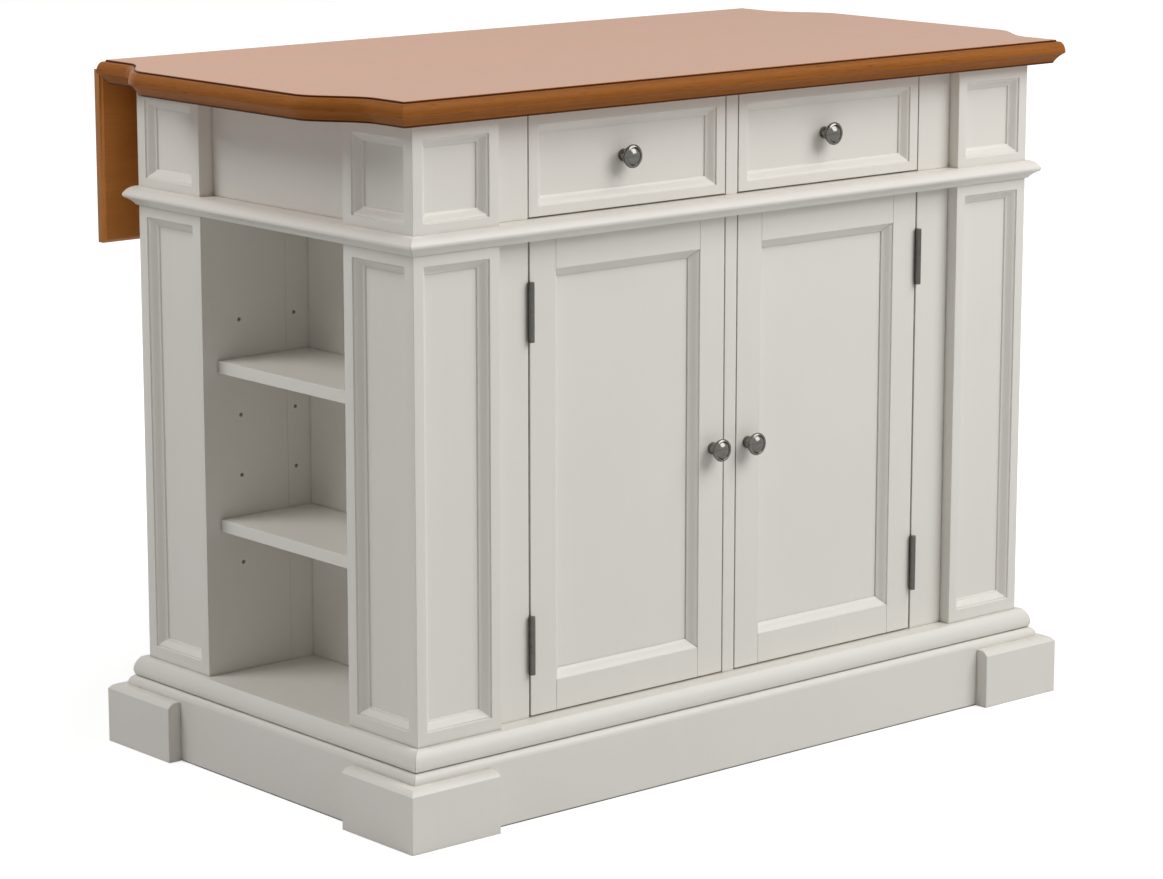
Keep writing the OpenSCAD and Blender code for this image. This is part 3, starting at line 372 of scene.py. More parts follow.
@dataclass(frozen=True)
class SprayedFilm(Effect):
    """A sprayed paint film: fine orange peel, faint streaks of the board and slow clouding."""

    name = "sprayed_film"
    inputs = {"Vector": "vector", "Streaks": 0.3}
    outputs = ("Tone", "Peel", "Height")

    peel_cells: float = 420.0
    streak_cells: Triple = (190.0, 190.0, 5.0)
    cloud_cells: float = 5.0
    main_share: float = 0.7

    def wire(self, graph: Graph, given: bpy.types.Node) -> dict[str, Socket]:
        """Build the peel, the streaks and the clouding.

        Args:
            graph: the group's graph.
            given: the group's input node.

        Returns:
            A socket for each named output.
        """
        vector = given.outputs["Vector"]
        peel = graph.noise(vector, self.peel_cells)
        clouds = graph.noise(vector, self.cloud_cells)
        streaks = graph.maths("MULTIPLY", graph.noise(vector, self.streak_cells), given.outputs["Streaks"])
        height = graph.plus(streaks, peel, self.main_share)
        return {"Tone": graph.plus(streaks, clouds, self.main_share), "Peel": peel, "Height": height}


@dataclass(frozen=True)
class EdgeWearAndShade(Effect):
    """Masks of the rubbed edges, and painted shade on the corners and recesses where the mesh's own faces
    close in.
    """

    name = "edge_wear_and_shade"
    inputs = {"Vector": "vector", "Patchiness": 0.5}
    # the second output is painted shade: darkening wherever ambient occlusion finds nearby faces
    outputs = ("Edges", "Painted Shade")

    reach: float = 7 * MM
    rays: int = 8
    patch_cells: float = 34.0
    patch_range: Flat = (0.35, 0.65)
    edge_range: Flat = (0.51, 0.58)
    shade_range: Flat = (0.85, 0.35)

    def wire(self, graph: Graph, given: bpy.types.Node) -> dict[str, Socket]:
        """Break up the mesh's convex edges, and paint shade on the places that its own faces close in.

        Args:
            graph: the group's graph.
            given: the group's input node.

        Returns:
            A socket for each named output.
        """
        curvature = graph.add("ShaderNodeNewGeometry").outputs["Pointiness"]
        nearness = graph.add("ShaderNodeAmbientOcclusion", samples=self.rays)
        graph.supply(nearness, Distance=self.reach)
        patches = graph.noise(given.outputs["Vector"], self.patch_cells, detail=3.0)
        keep = graph.maths("SUBTRACT", 1.0, given.outputs["Patchiness"])
        share = graph.plus(keep, graph.remap(patches, self.patch_range), given.outputs["Patchiness"])
        edges = graph.remap(curvature, self.edge_range)
        # painted shade: the occlusion turned into a mask that darkens corners and recesses
        painted_shade = graph.remap(nearness.outputs["AO"], self.shade_range)
        return {
            "Edges": graph.maths("MULTIPLY", edges, share),
            "Painted Shade": graph.maths("MULTIPLY", painted_shade, share),
        }


@dataclass(frozen=True)
class WorkedMetal(Effect):
    """Fine brushing, a mottled patina and small scuffs on plated metal."""

    name = "worked_metal"
    inputs = {"Vector": "vector", "Brushing": 0.5}
    outputs = ("Tone", "Scuffs", "Height")

    brush_cells: Triple = (900.0, 900.0, 60.0)
    mottle_cells: float = 130.0
    mottle_share: float = 0.6
    scuff_cells: float = 700.0
    scuff_range: Flat = (0.58, 0.70)

    def wire(self, graph: Graph, given: bpy.types.Node) -> dict[str, Socket]:
        """Build the brushing, the mottling and the scuffs.

        Args:
            graph: the group's graph.
            given: the group's input node.

        Returns:
            A socket for each named output.
        """
        vector = given.outputs["Vector"]
        brushed = graph.maths("MULTIPLY", graph.noise(vector, self.brush_cells), given.outputs["Brushing"])
        mottled = graph.noise(vector, self.mottle_cells, detail=3.0, distortion=0.4)
        scuffs = graph.remap(graph.noise(vector, self.scuff_cells, distortion=1.5), self.scuff_range)
        return {"Tone": graph.plus(brushed, mottled, self.mottle_share), "Scuffs": scuffs,
                "Height": brushed}


GRAIN = WoodGrain()
FILM = SprayedFilm()
WEAR_AND_SHADE = EdgeWearAndShade()
METAL = WorkedMetal()


# ------------------------------------------------------------------------------------ finishes


@dataclass(frozen=True)
class Finish(ABC):
    """A finish of the island that makes one Blender material."""

    patchiness: ClassVar[float]     # how much the edge wear and the painted shade are broken up
    relief: ClassVar[float]         # depth of the surface's texture
    relief_share: ClassVar[float]   # strength of the surface's texture

    name: str

    def material(self) -> bpy.types.Material:
        """Make the material, or find it if it's there.

        Returns:
            The finish's material.
        """
        found = bpy.data.materials.get(self.name)
        if found:
            return found
        material = bpy.data.materials.new(self.name)
        material.use_nodes = True
        shader = material.node_tree.nodes["Principled BSDF"]
        self.fill(Graph(material.node_tree), shader)
        return material

    @abstractmethod
    def fill(self, graph: Graph, shader: bpy.types.Node) -> None:
        """Wire the finish's effects into the Principled BSDF of its material."""

    def place(self, graph: Graph) -> Socket:
        """Return the socket of the place on the object, in metres."""
        return graph.add("ShaderNodeTexCoord").outputs["Object"]

    def wear_and_shade(self, graph: Graph, mask: str) -> Socket:
        """Return the socket of one of the group's masks: the worn edges, or the painted shade in corners and
        recesses.
        """
        return WEAR_AND_SHADE.place(graph, Vector=self.place(graph), Patchiness=self.patchiness)[mask]

    def cover(self, graph: Graph, shader: bpy.types.Node, colour: Socket, roughness: Socket,
              height: Socket) -> None:
        """Feed the shader the sockets of the surface's colour, roughness and relief."""
        normal = graph.bump(height, self.relief, self.relief_share)
        graph.supply(shader, Base_Color=colour, Roughness=roughness, Normal=normal)


@dataclass(frozen=True)
class StainedWood(Finish):
    """Stained hardwood under satin lacquer."""

    patchiness = 0.4
    relief = 0.05 * MM
    relief_share = 0.35
    tone_range: ClassVar[Flat] = (0.2, 0.8)
    end_range: ClassVar[Flat] = (0.7, 0.9)      # how far a face has turned to the end of the boards

    light: Triple
    dark: Triple
    pore: Triple
    board_width: float
    board_contrast: float = 0.3
    seed: float = 0.0
    follows_edge: bool = False
    gloss: Flat = (0.32, 0.40)
    # how strongly painted shade darkens the wood's corners and recesses
    shade_strength: float = 0.5
    shine: float = 0.5
    open_pores: float = 0.45
    # how much darker faces towards the ends of the boards are: end grain and painted shade
    end_grain_and_shade: float = 0.0

    def along_grain(self, graph: Graph) -> Socket:
        """Find the place on the wood, with the grain along X.

        Args:
            graph: the material's graph.

        Returns:
            The place's socket, along the moulded edge where the finish follows it.
        """
        if self.follows_edge:
            return graph.add("ShaderNodeUVMap", uv_map="grain").outputs["UV"]
        return self.place(graph)

    def fill(self, graph: Graph, shader: bpy.types.Node) -> None:
        """Colour the grain, darken its pores, darken its end faces with end grain and painted shade, darken
        its corners with painted shade, and set the lacquer's shine.

        Args:
            graph: the material's graph.
            shader: the material's Principled BSDF.
        """
        grain = GRAIN.place(graph, Vector=self.along_grain(graph), Board_Width=self.board_width,
                            Board_Contrast=self.board_contrast, Seed=self.seed)
        wood = graph.blend(grain["Tone"], self.dark, self.light)
        wood = graph.tint(wood, self.pore, grain["Pores"], self.open_pores)
        # end faces darkened by the way that they face: end grain and painted shade
        if self.end_grain_and_shade:
            facing = graph.parts(graph.add("ShaderNodeTexCoord").outputs["Normal"])[0]
            ends = graph.remap(graph.maths("ABSOLUTE", facing), self.end_range)
            wood = graph.tint(wood, self.pore, ends, self.end_grain_and_shade)
        # painted shade: the wood darkened where its own faces close in
        wood = graph.tint(wood, self.pore, self.wear_and_shade(graph, "Painted Shade"), self.shade_strength)
        roughness = graph.remap(grain["Tone"], self.tone_range, self.gloss)
        self.cover(graph, shader, wood, roughness, grain["Height"])
        shader.inputs["Specular IOR Level"].default_value = self.shine


@dataclass(frozen=True)
class SatinPaint(Finish):
    """Sprayed satin paint."""

    patchiness = 0.5
    relief = 0.06 * MM
    relief_share = 0.3
    peel_range: ClassVar[Flat] = (0.3, 0.7)

    colour: Triple
    cloud: Triple
    # colour of the painted shade in corners and recesses
    shade_colour: Triple
    streaks: float = 0.3
    # how strongly the painted shade darkens them
    corner_shade: float = 0.5
    gloss: Flat = (0.36, 0.46)

    def fill(self, graph: Graph, shader: bpy.types.Node) -> None:
        """Cloud the paint slightly, and darken its corners and recesses with painted shade.

        Args:
            graph: the material's graph.
            shader: the material's Principled BSDF.
        """
        film = FILM.place(graph, Vector=self.place(graph), Streaks=self.streaks)
        paint = graph.blend(film["Tone"], self.cloud, self.colour)
        # painted shade: the paint darkened where its own faces close in
        paint = graph.tint(paint, self.shade_colour, self.wear_and_shade(graph, "Painted Shade"), self.corner_shade)
        roughness = graph.remap(film["Peel"], self.peel_range, self.gloss)
        self.cover(graph, shader, paint, roughness, film["Height"])


@dataclass(frozen=True)
class PlatedMetal(Finish):
    """Plated metal with a patina that edges rub off."""

    patchiness = 0.6
    relief = 0.03 * MM
    relief_share = 0.25
    tone_range: ClassVar[Flat] = (0.2, 0.8)

    bright: Triple
    dull: Triple
    gloss: Flat
    brushing: float = 0.4
    rub: float = 0.5
    scuffing: float = 0.12

    def fill(self, graph: Graph, shader: bpy.types.Node) -> None:
        """Mottle the plate, brighten its edges and scuff its gloss.

        Args:
            graph: the material's graph.
            shader: the material's Principled BSDF.
        """
        metal = METAL.place(graph, Vector=self.place(graph), Brushing=self.brushing)
        plate = graph.blend(metal["Tone"], self.dull, self.bright)
        plate = graph.tint(plate, self.bright, self.wear_and_shade(graph, "Edges"), self.rub)
        gloss = graph.remap(metal["Tone"], self.tone_range, self.gloss)
        self.cover(graph, shader, plate, graph.plus(gloss, metal["Scuffs"], self.scuffing), metal["Height"])
        shader.inputs["Metallic"].default_value = 1.0


@dataclass(frozen=True)
class MouldedPlastic(Finish):
    """Matte moulded plastic with a fine spark-eroded texture."""

    patchiness = 0.3
    relief = 0.05 * MM
    relief_share = 0.4
    peel_range: ClassVar[Flat] = (0.3, 0.7)
    fineness: ClassVar[Triple] = (3.0, 3.0, 3.0)    # how much finer the texture is than paint

    colour: Triple
    rubbed: Triple
    rub: float = 0.4
    gloss: Flat = (0.5, 0.62)

    def fill(self, graph: Graph, shader: bpy.types.Node) -> None:
        """Texture the plastic and lighten its edges.

        Args:
            graph: the material's graph.
            shader: the material's Principled BSDF.
        """
        film = FILM.place(graph, Vector=graph.stretch(self.place(graph), self.fineness), Streaks=0.0)
        plastic = graph.tint(self.colour, self.rubbed, self.wear_and_shade(graph, "Edges"), self.rub)
        roughness = graph.remap(film["Peel"], self.peel_range, self.gloss)
        self.cover(graph, shader, plastic, roughness, film["Height"])


@dataclass(frozen=True)
class Palette:
    """Every finish of the island."""

    # the top's colours are paler and pinker than the lipping's, standing in for white surroundings reflected
    # in the lacquer: painted sheen
    top: StainedWood = StainedWood(
        "stained_top_with_painted_sheen", linear(199, 150, 118), linear(179, 133, 107), linear(108, 68, 44), board_width=0.094,
        board_contrast=0.2, follows_edge=True, gloss=(0.40, 0.48), shine=0.4, open_pores=0.3)
    # the lipping's corners and the shadow line under its step are darkened strongly with painted shade
    lipping: StainedWood = StainedWood(
        "stained_lipping", linear(178, 110, 50), linear(124, 71, 29), linear(62, 32, 14),
        board_width=0.2, board_contrast=0.05, seed=3.0, follows_edge=True, shade_strength=0.95, shine=0.04)
    # a dark finish on the bands of the lipping that lie in shade: painted shade
    shade_band: StainedWood = StainedWood(
        "painted_shade_line", linear(96, 52, 26), linear(66, 34, 16), linear(38, 19, 9),
        board_width=0.2, board_contrast=0.05, seed=5.0, follows_edge=True, shade_strength=0.9, shine=0.04)
    # the leaf's colours are lighter than the lipping's so that its shaded inner face reads brighter: painted
    # light
    leaf: StainedWood = StainedWood(
        "stained_leaf_with_painted_light", linear(224, 146, 68), linear(192, 119, 52), linear(92, 50, 22),
        board_width=0.094, board_contrast=0.2, seed=11.0, shine=0.3, open_pores=0.15, end_grain_and_shade=0.5)
    # the plywood's corners are darkened slightly with painted shade
    plywood: StainedWood = StainedWood(
        "birch_plywood", linear(222, 196, 155), linear(205, 174, 128), linear(170, 134, 90),
        board_width=0.3, gloss=(0.5, 0.6), shade_strength=0.3)
    # the third colour is the painted shade in the paint's corners
    paint: SatinPaint = SatinPaint(
        "satin_paint", linear(233, 230, 223), linear(227, 223, 215), linear(178, 172, 160))
    polished: PlatedMetal = PlatedMetal(
        "polished_pewter", linear(128, 126, 121), linear(92, 90, 86), (0.12, 0.20), brushing=0.15)
    pewter: PlatedMetal = PlatedMetal(
        "dark_pewter", linear(112, 110, 105), linear(74, 72, 69), (0.28, 0.40))
    zinc: PlatedMetal = PlatedMetal(
        "zinc_plate", linear(206, 208, 210), linear(172, 174, 178), (0.30, 0.42), brushing=0.6)
    plastic: MouldedPlastic = MouldedPlastic(
        "brown_plastic", linear(92, 68, 48), linear(122, 94, 70))


# -------------------------------------------------------------------------------- mesh drafts


def turns(sides: int) -> list[float]:
    """Return the angles of the corners of a regular ring."""
    return [2 * math.pi * i / sides for i in range(sides)]


def bowed(start: Flat, end: Flat, bow: float, steps: int = 12) -> list[Flat]:
    """Walk from one point to another on a curve that bows to the left of the way.

    Args:
        start, end: first and last point.
        bow: greatest distance from the straight line.
        steps: number of stretches.

    Returns:
        The points on the curve.
    """
    along = (end[0] - start[0], end[1] - start[1])
    length = math.hypot(*along)
    side = (-along[1] / length, along[0] / length)
    curve = []
    for step in range(steps + 1):
        t = step / steps
        lift = bow * 4 * t * (1 - t)
        curve.append((start[0] + along[0] * t + side[0] * lift, start[1] + along[1] * t + side[1] * lift))
    return curve


class Draft:
    """Points and faces that a piece gathers before it becomes a mesh."""

    screw_sides = 24            # flats round a screw's head
    screw_levels = 7            # rings from its rim to its middle
    screw_sink = 0.2 * MM       # how far its rim reaches into its seat
    cross_arm = 0.17            # half width of its cross, as a share of its radius
    cross_reach = 0.68          # length of the cross's arms, as a share of its radius

    def __init__(self) -> None:
        """Start with nothing."""
        self.points: list[Vector] = []
        self.faces: list[list[int]] = []
        self.grain: list[list[Flat]] = []
        self.kinds: list[int] = []

    def point(self, place: Sequence[float]) -> int:
        """Add a point and return its number."""
        self.points.append(Vector(place))
        return len(self.points) - 1

    def face(self, corners: Sequence[int], grain: Sequence[Flat] = (), kind: int = 0) -> None:
        """Add a face.

        Args:
            corners: numbers of its points, seen from outside against the clock.
            grain: place of each corner on the wood, along and across the grain.
            kind: number of the material that it takes.
        """
        self.faces.append(list(corners))
        self.grain.append(list(grain) or [(0.0, 0.0)] * len(corners))
        self.kinds.append(kind)

    def ring(self, place: Matrix, radius: float, height: float, sides: int) -> list[int]:
        """Add a ring of points round the local Z axis, or a single point on it.

        Args:
            place: from the local frame to the row's frame.
            radius: the ring's radius, or 0 for a single point.
            height: its place on the axis.
            sides: number of points.

        Returns:
            The numbers of the points.
        """
        if not radius:
            return [self.point(place @ Vector((0, 0, height)))]
        return [self.point(place @ Vector((radius * math.cos(a), radius * math.sin(a), height)))
                for a in turns(sides)]

    def bands(self, rings: Sequence[Sequence[int]]) -> None:
        """Join closed rings of points one after another.

        Args:
            rings: the rings, where a single point may follow a ring or come before it.
        """
        for low, high in zip(rings, rings[1:]):
            count = max(len(low), len(high))
            for i in range(count):
                k = (i + 1) % count
                corners = [low[i % len(low)], low[k % len(low)], high[k % len(high)], high[i % len(high)]]
                self.face(list(dict.fromkeys(corners)))

    def shell(self, rings: Sequence[Sequence[int]]) -> None:
        """Join closed rings of points, and close the first and the last with a face.

        Args:
            rings: the rings in their order, seen against the clock from beyond the last.
        """
        self.bands(rings)
        self.face(rings[0][::-1])
        self.face(rings[-1])

    def lathe(self, outline: Sequence[Flat], place: Matrix, sides: int) -> None:
        """Turn an outline of radius and height, from its lower middle up, round the local Z axis."""
        self.bands([self.ring(place, radius, height, sides) for radius, height in outline])

    def tube(self, path: Sequence[Vector], radius: float, sides: int = 8) -> None:
        """Sweep a round wire along a path.

        Args:
            path: points of its centre line.
            radius: half of the wire's thickness.
            sides: number of flats round it.
        """
        normal = (path[1] - path[0]).orthogonal().normalized()
        rings = []
        for i, centre in enumerate(path):
            along = (path[min(i + 1, len(path) - 1)] - path[max(i - 1, 0)]).normalized()
            normal = (normal - along * normal.dot(along)).normalized()
            across = along.cross(normal)
            rings.append([self.point(centre + (normal * math.cos(a) + across * math.sin(a)) * radius)
                          for a in turns(sides)])
        self.shell(rings)

    def prism(self, outline: Sequence[Flat], start: Callable[[Flat], Vector],
              end: Callable[[Flat], Vector]) -> None:
        """Join a closed outline, placed at one end of a strip, to the same outline at its other end."""
        self.shell([[self.point(place(p)) for p in outline] for place in (start, end)])

    def screw(self, place: Matrix, radius: float, rise: float, recess: float) -> None:
        """Add a screw head with a cross recess, on its flat seat at local Z 0.

        Args:
            place: from the head's frame to the row's frame.
            radius: half of the head's width.
            rise: height of the middle of the head.
            recess: depth of the cross.
        """
        rings = [self.ring(place, radius, -self.screw_sink, self.screw_sides)]
        for level in range(self.screw_levels):
            share = 1 - level / self.screw_levels
            ring = []
            for angle in turns(self.screw_sides):
                x, y = radius * share * math.cos(angle), radius * share * math.sin(angle)
                in_arm = min(abs(x), abs(y)) < radius * self.cross_arm
                crossed = in_arm and math.hypot(x, y) < radius * self.cross_reach
                height = rise * (1 - share ** 2) - (recess if crossed else 0.0)
                ring.append(self.point(place @ Vector((x, y, height))))
            rings.append(ring)
        self.shell(rings)

    def piece(self, name: str, body: str, finishes: Sequence[Finish], slot: Slot,
              crease: float = 35.0, edge: float = 0.0) -> bpy.types.Object:
        """Make the mesh, dress it and let it ride on its body.

        Args:
            name: the piece's name.
            body: the CAD body that it moves with.
            finishes: its finishes, in the order of the faces' kinds.
            slot: not used.
            crease: angle in degrees above which an edge stays sharp.
            edge: width of the small bevel along its sharp edges, or 0.

        Returns:
            The new object.
        """
        mesh = bpy.data.meshes.new(name)
        mesh.from_pydata([tuple(p) for p in self.points], [], self.faces)
        mesh.polygons.foreach_set("material_index", self.kinds)
        layer = mesh.uv_layers.new(name="grain")
        layer.data.foreach_set("uv", [c for face in self.grain for place in face for c in place])
        mesh.shade_smooth()
        mesh.set_sharp_from_angle(angle=math.radians(crease))
        for finish in finishes:
            mesh.materials.append(finish.material())
        made = bpy.data.objects.new(name, mesh)
        bpy.context.scene.collection.objects.link(made)
        if edge:
            soften(made, edge)
        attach(made, body)
        return made


@dataclass(frozen=True)
class ScrewHead:
    """A round screw head with a cross recess."""

    radius: float
    rise: float
    recess: float

    def drive(self, draft: Draft, seat: Triple, turn: float, axis: str = "X") -> None:
        """Add the head to a draft, on its seat and turned round an axis to face out of it."""
        place = Matrix.Translation(seat) @ Matrix.Rotation(turn, 4, axis)
        draft.screw(place, self.radius, self.rise, self.recess)


def soften(target: bpy.types.Object, width: float, held: bool = False) -> None:
    """Round the sharp edges of an object with modifiers that leave its mesh as it is.

    Args:
        target: the object.
        width: width of the rounding.
        held: whether the rounding shrinks where there's no room for it.
    """
    bevel = target.modifiers.new("arris", "BEVEL")
    bevel.width = width
    bevel.segments = ARRIS_STEPS
    bevel.limit_method = "ANGLE"
    bevel.angle_limit = ARRIS_ANGLE
    bevel.use_clamp_overlap = held
    bevel.loop_slide = False
    bevel.miter_outer = "MITER_ARC"
    normals = target.modifiers.new("shading", "WEIGHTED_NORMAL")
    normals.weight = FACE_WEIGHT
    normals.keep_sharp = True


def dress(finish: Finish, edge: float, *nodes: str, held: bool = False) -> list[str]:
    """Give CAD nodes a finish, smooth shading on their curves and a small rounding on their edges.

    Args:
        finish: the finish that they take.
        edge: width of the rounding.
        nodes: the nodes' names.
        held: whether the rounding shrinks where there's no room for it.

    Returns:
        The nodes' names.
    """
    for node in nodes:
        target = frame["nodes"][node]
        mesh = target.data
        loose_normals = mesh.attributes.get("custom_normal")
        if loose_normals:
            mesh.attributes.remove(loose_normals)
        mesh.shade_smooth()
        mesh.materials.clear()
        mesh.materials.append(finish.material())
        weld = target.modifiers.new("weld", "WELD")
        weld.merge_threshold = WELD_REACH
        flats = target.modifiers.new("flats", "DECIMATE")
        flats.decimate_type = "DISSOLVE"
        flats.angle_limit = FLAT_ANGLE
        target.modifiers.new("triangles", "TRIANGULATE")
        soften(target, edge, held)
    return list(nodes)


# ------------------------------------------------------------------------------ sub-assemblies


@dataclass
class SubAssembly(ABC):
    """A part of the island that builds its pieces and dresses its nodes."""

    palette: Palette

    @abstractmethod
    def build(self) -> list[str]:
        """Make and dress everything, and return the names of what was made or dressed."""


@dataclass
class Worktop(SubAssembly):
    """The top: a glued-up panel inside a moulded lipping that follows its outline."""

    edge_out: float = 9 * MM
    edge_step: float = 2.4 * MM
    step_fillet: float = 0.35 * MM
    nose_drop: float = 17.5 * MM
    undercut: float = 2.8 * MM
    ogee_bow: float = 1.3 * MM
    profile_steps: int = 14
    corner_in: float = 47 * MM
    flat_half: float = 160 * MM
    shoulder_run: float = 98 * MM
    shoulder_steps: int = 30
    # bands of the profile that take the dark finish, counted from the underside and from the surface: painted
    # shade
    shade_rings_low: int = 2
    shade_rings_high: int = 3
    arris: float = 0.7 * MM
    crease: float = 28.0
    lipping_kind: int = 1
    shade_kind: int = 2

    def outline(self) -> list[Flat]:
        """Draw the upper edge of the top, against the clock from its front right corner.

        Returns:
            The points of the outline.
        """
        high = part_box("countertop")[1]
        end_x = high.x - self.edge_out
        edge_y = high.y - self.edge_out
        corner_x = end_x - self.corner_in
        shoulder = []
        for step in range(self.shoulder_steps + 1):
            t = step / self.shoulder_steps
            shoulder.append((end_x - self.corner_in * (1 - math.cos(math.pi * t)) / 2,
                             self.flat_half + self.shoulder_run * t))
        right = [(corner_x, -edge_y), *((x, -y) for x, y in reversed(shoulder)), *shoulder,
                 (corner_x, edge_y)]
        return right + [(-x, -y) for x, y in right]

    def profile(self) -> list[Flat]:
        """Draw the edge moulding from the underside up: reach past the outline, and height.

        Returns:
            The points of the profile, with its height measured from the surface.
        """
        low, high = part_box("countertop")
        steps = self.profile_steps
        ogee = bowed((-self.undercut, low.z - high.z), (self.edge_out, -self.nose_drop), self.ogee_bow, steps)
        width, height = self.edge_out - self.edge_step, self.nose_drop - self.edge_step
        nose = [(self.edge_step + width * math.cos(a), -self.nose_drop + height * math.sin(a))
                for a in (math.pi / 2 * i / steps for i in range(1, steps + 1))]
        step = [(self.step_fillet, -self.edge_step), (0.0, -self.edge_step + self.step_fillet)]
        return [*ogee, *nose, *step, (0.0, -self.arris), (-self.arris, 0.0)]

    @staticmethod
    def mitre(outline: Sequence[Flat], index: int) -> Flat:
        """Find the way a point moves out, so that both its edges keep their offset.

        Args:
            outline: closed outline, against the clock.
            index: number of the point.

        Returns:
            The move for each unit of offset.
        """
        normals = []
        for a, b in ((index - 1, index), (index, (index + 1) % len(outline))):
            dx, dy = outline[b][0] - outline[a][0], outline[b][1] - outline[a][1]
            length = math.hypot(dx, dy)
            normals.append((dy / length, -dx / length))
        (ax, ay), (bx, by) = normals
        share = 1 + ax * bx + ay * by
        return ((ax + bx) / share, (ay + by) / share)

    def build(self) -> list[str]:
        """Sweep the profile round the outline, and close it with the panel's two faces.

        Returns:
            The names of what was made or dressed.
        """
        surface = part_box("countertop")[1].z
        outline, profile = self.outline(), self.profile()
        count = len(outline)
        mitres = [self.mitre(outline, i) for i in range(count)]
        runs = [math.dist(outline[i], outline[(i + 1) % count]) for i in range(count)]
        starts = [sum(runs[:i]) for i in range(count)]
        drops = [0.0]
        for before, after in zip(profile, profile[1:]):
            drops.append(drops[-1] + math.dist(before, after))
        draft = Draft()
        rings = [[draft.point((q[0] + reach * m[0], q[1] + reach * m[1], surface + drop))
                  for q, m in zip(outline, mitres)] for reach, drop in profile]
        last = len(rings) - 2
        for j, (lower, upper) in enumerate(zip(rings, rings[1:])):
            # bands in shade, at the underside and under the step, take the dark finish: painted shade
            in_shade = j < self.shade_rings_low or last - self.shade_rings_high <= j < last
            for i in range(count):
                k = (i + 1) % count
                u0, u1, v0, v1 = starts[i], starts[i] + runs[i], drops[j], drops[j + 1]
                draft.face((lower[i], lower[k], upper[k], upper[i]), ((u0, v0), (u1, v0), (u1, v1), (u0, v1)),
                           kind=self.shade_kind if in_shade else self.lipping_kind)
        for ring in (rings[-1], rings[0][::-1]):
            draft.face(ring, [(draft.points[n].x, draft.points[n].y) for n in ring])
        finishes = (self.palette.top, self.palette.lipping, self.palette.shade_band)
        board = draft.piece("worktop_board", CABINET, finishes, Slot.STAINED_WOOD, crease=self.crease)
        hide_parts("countertop")
        return ["worktop_board"]


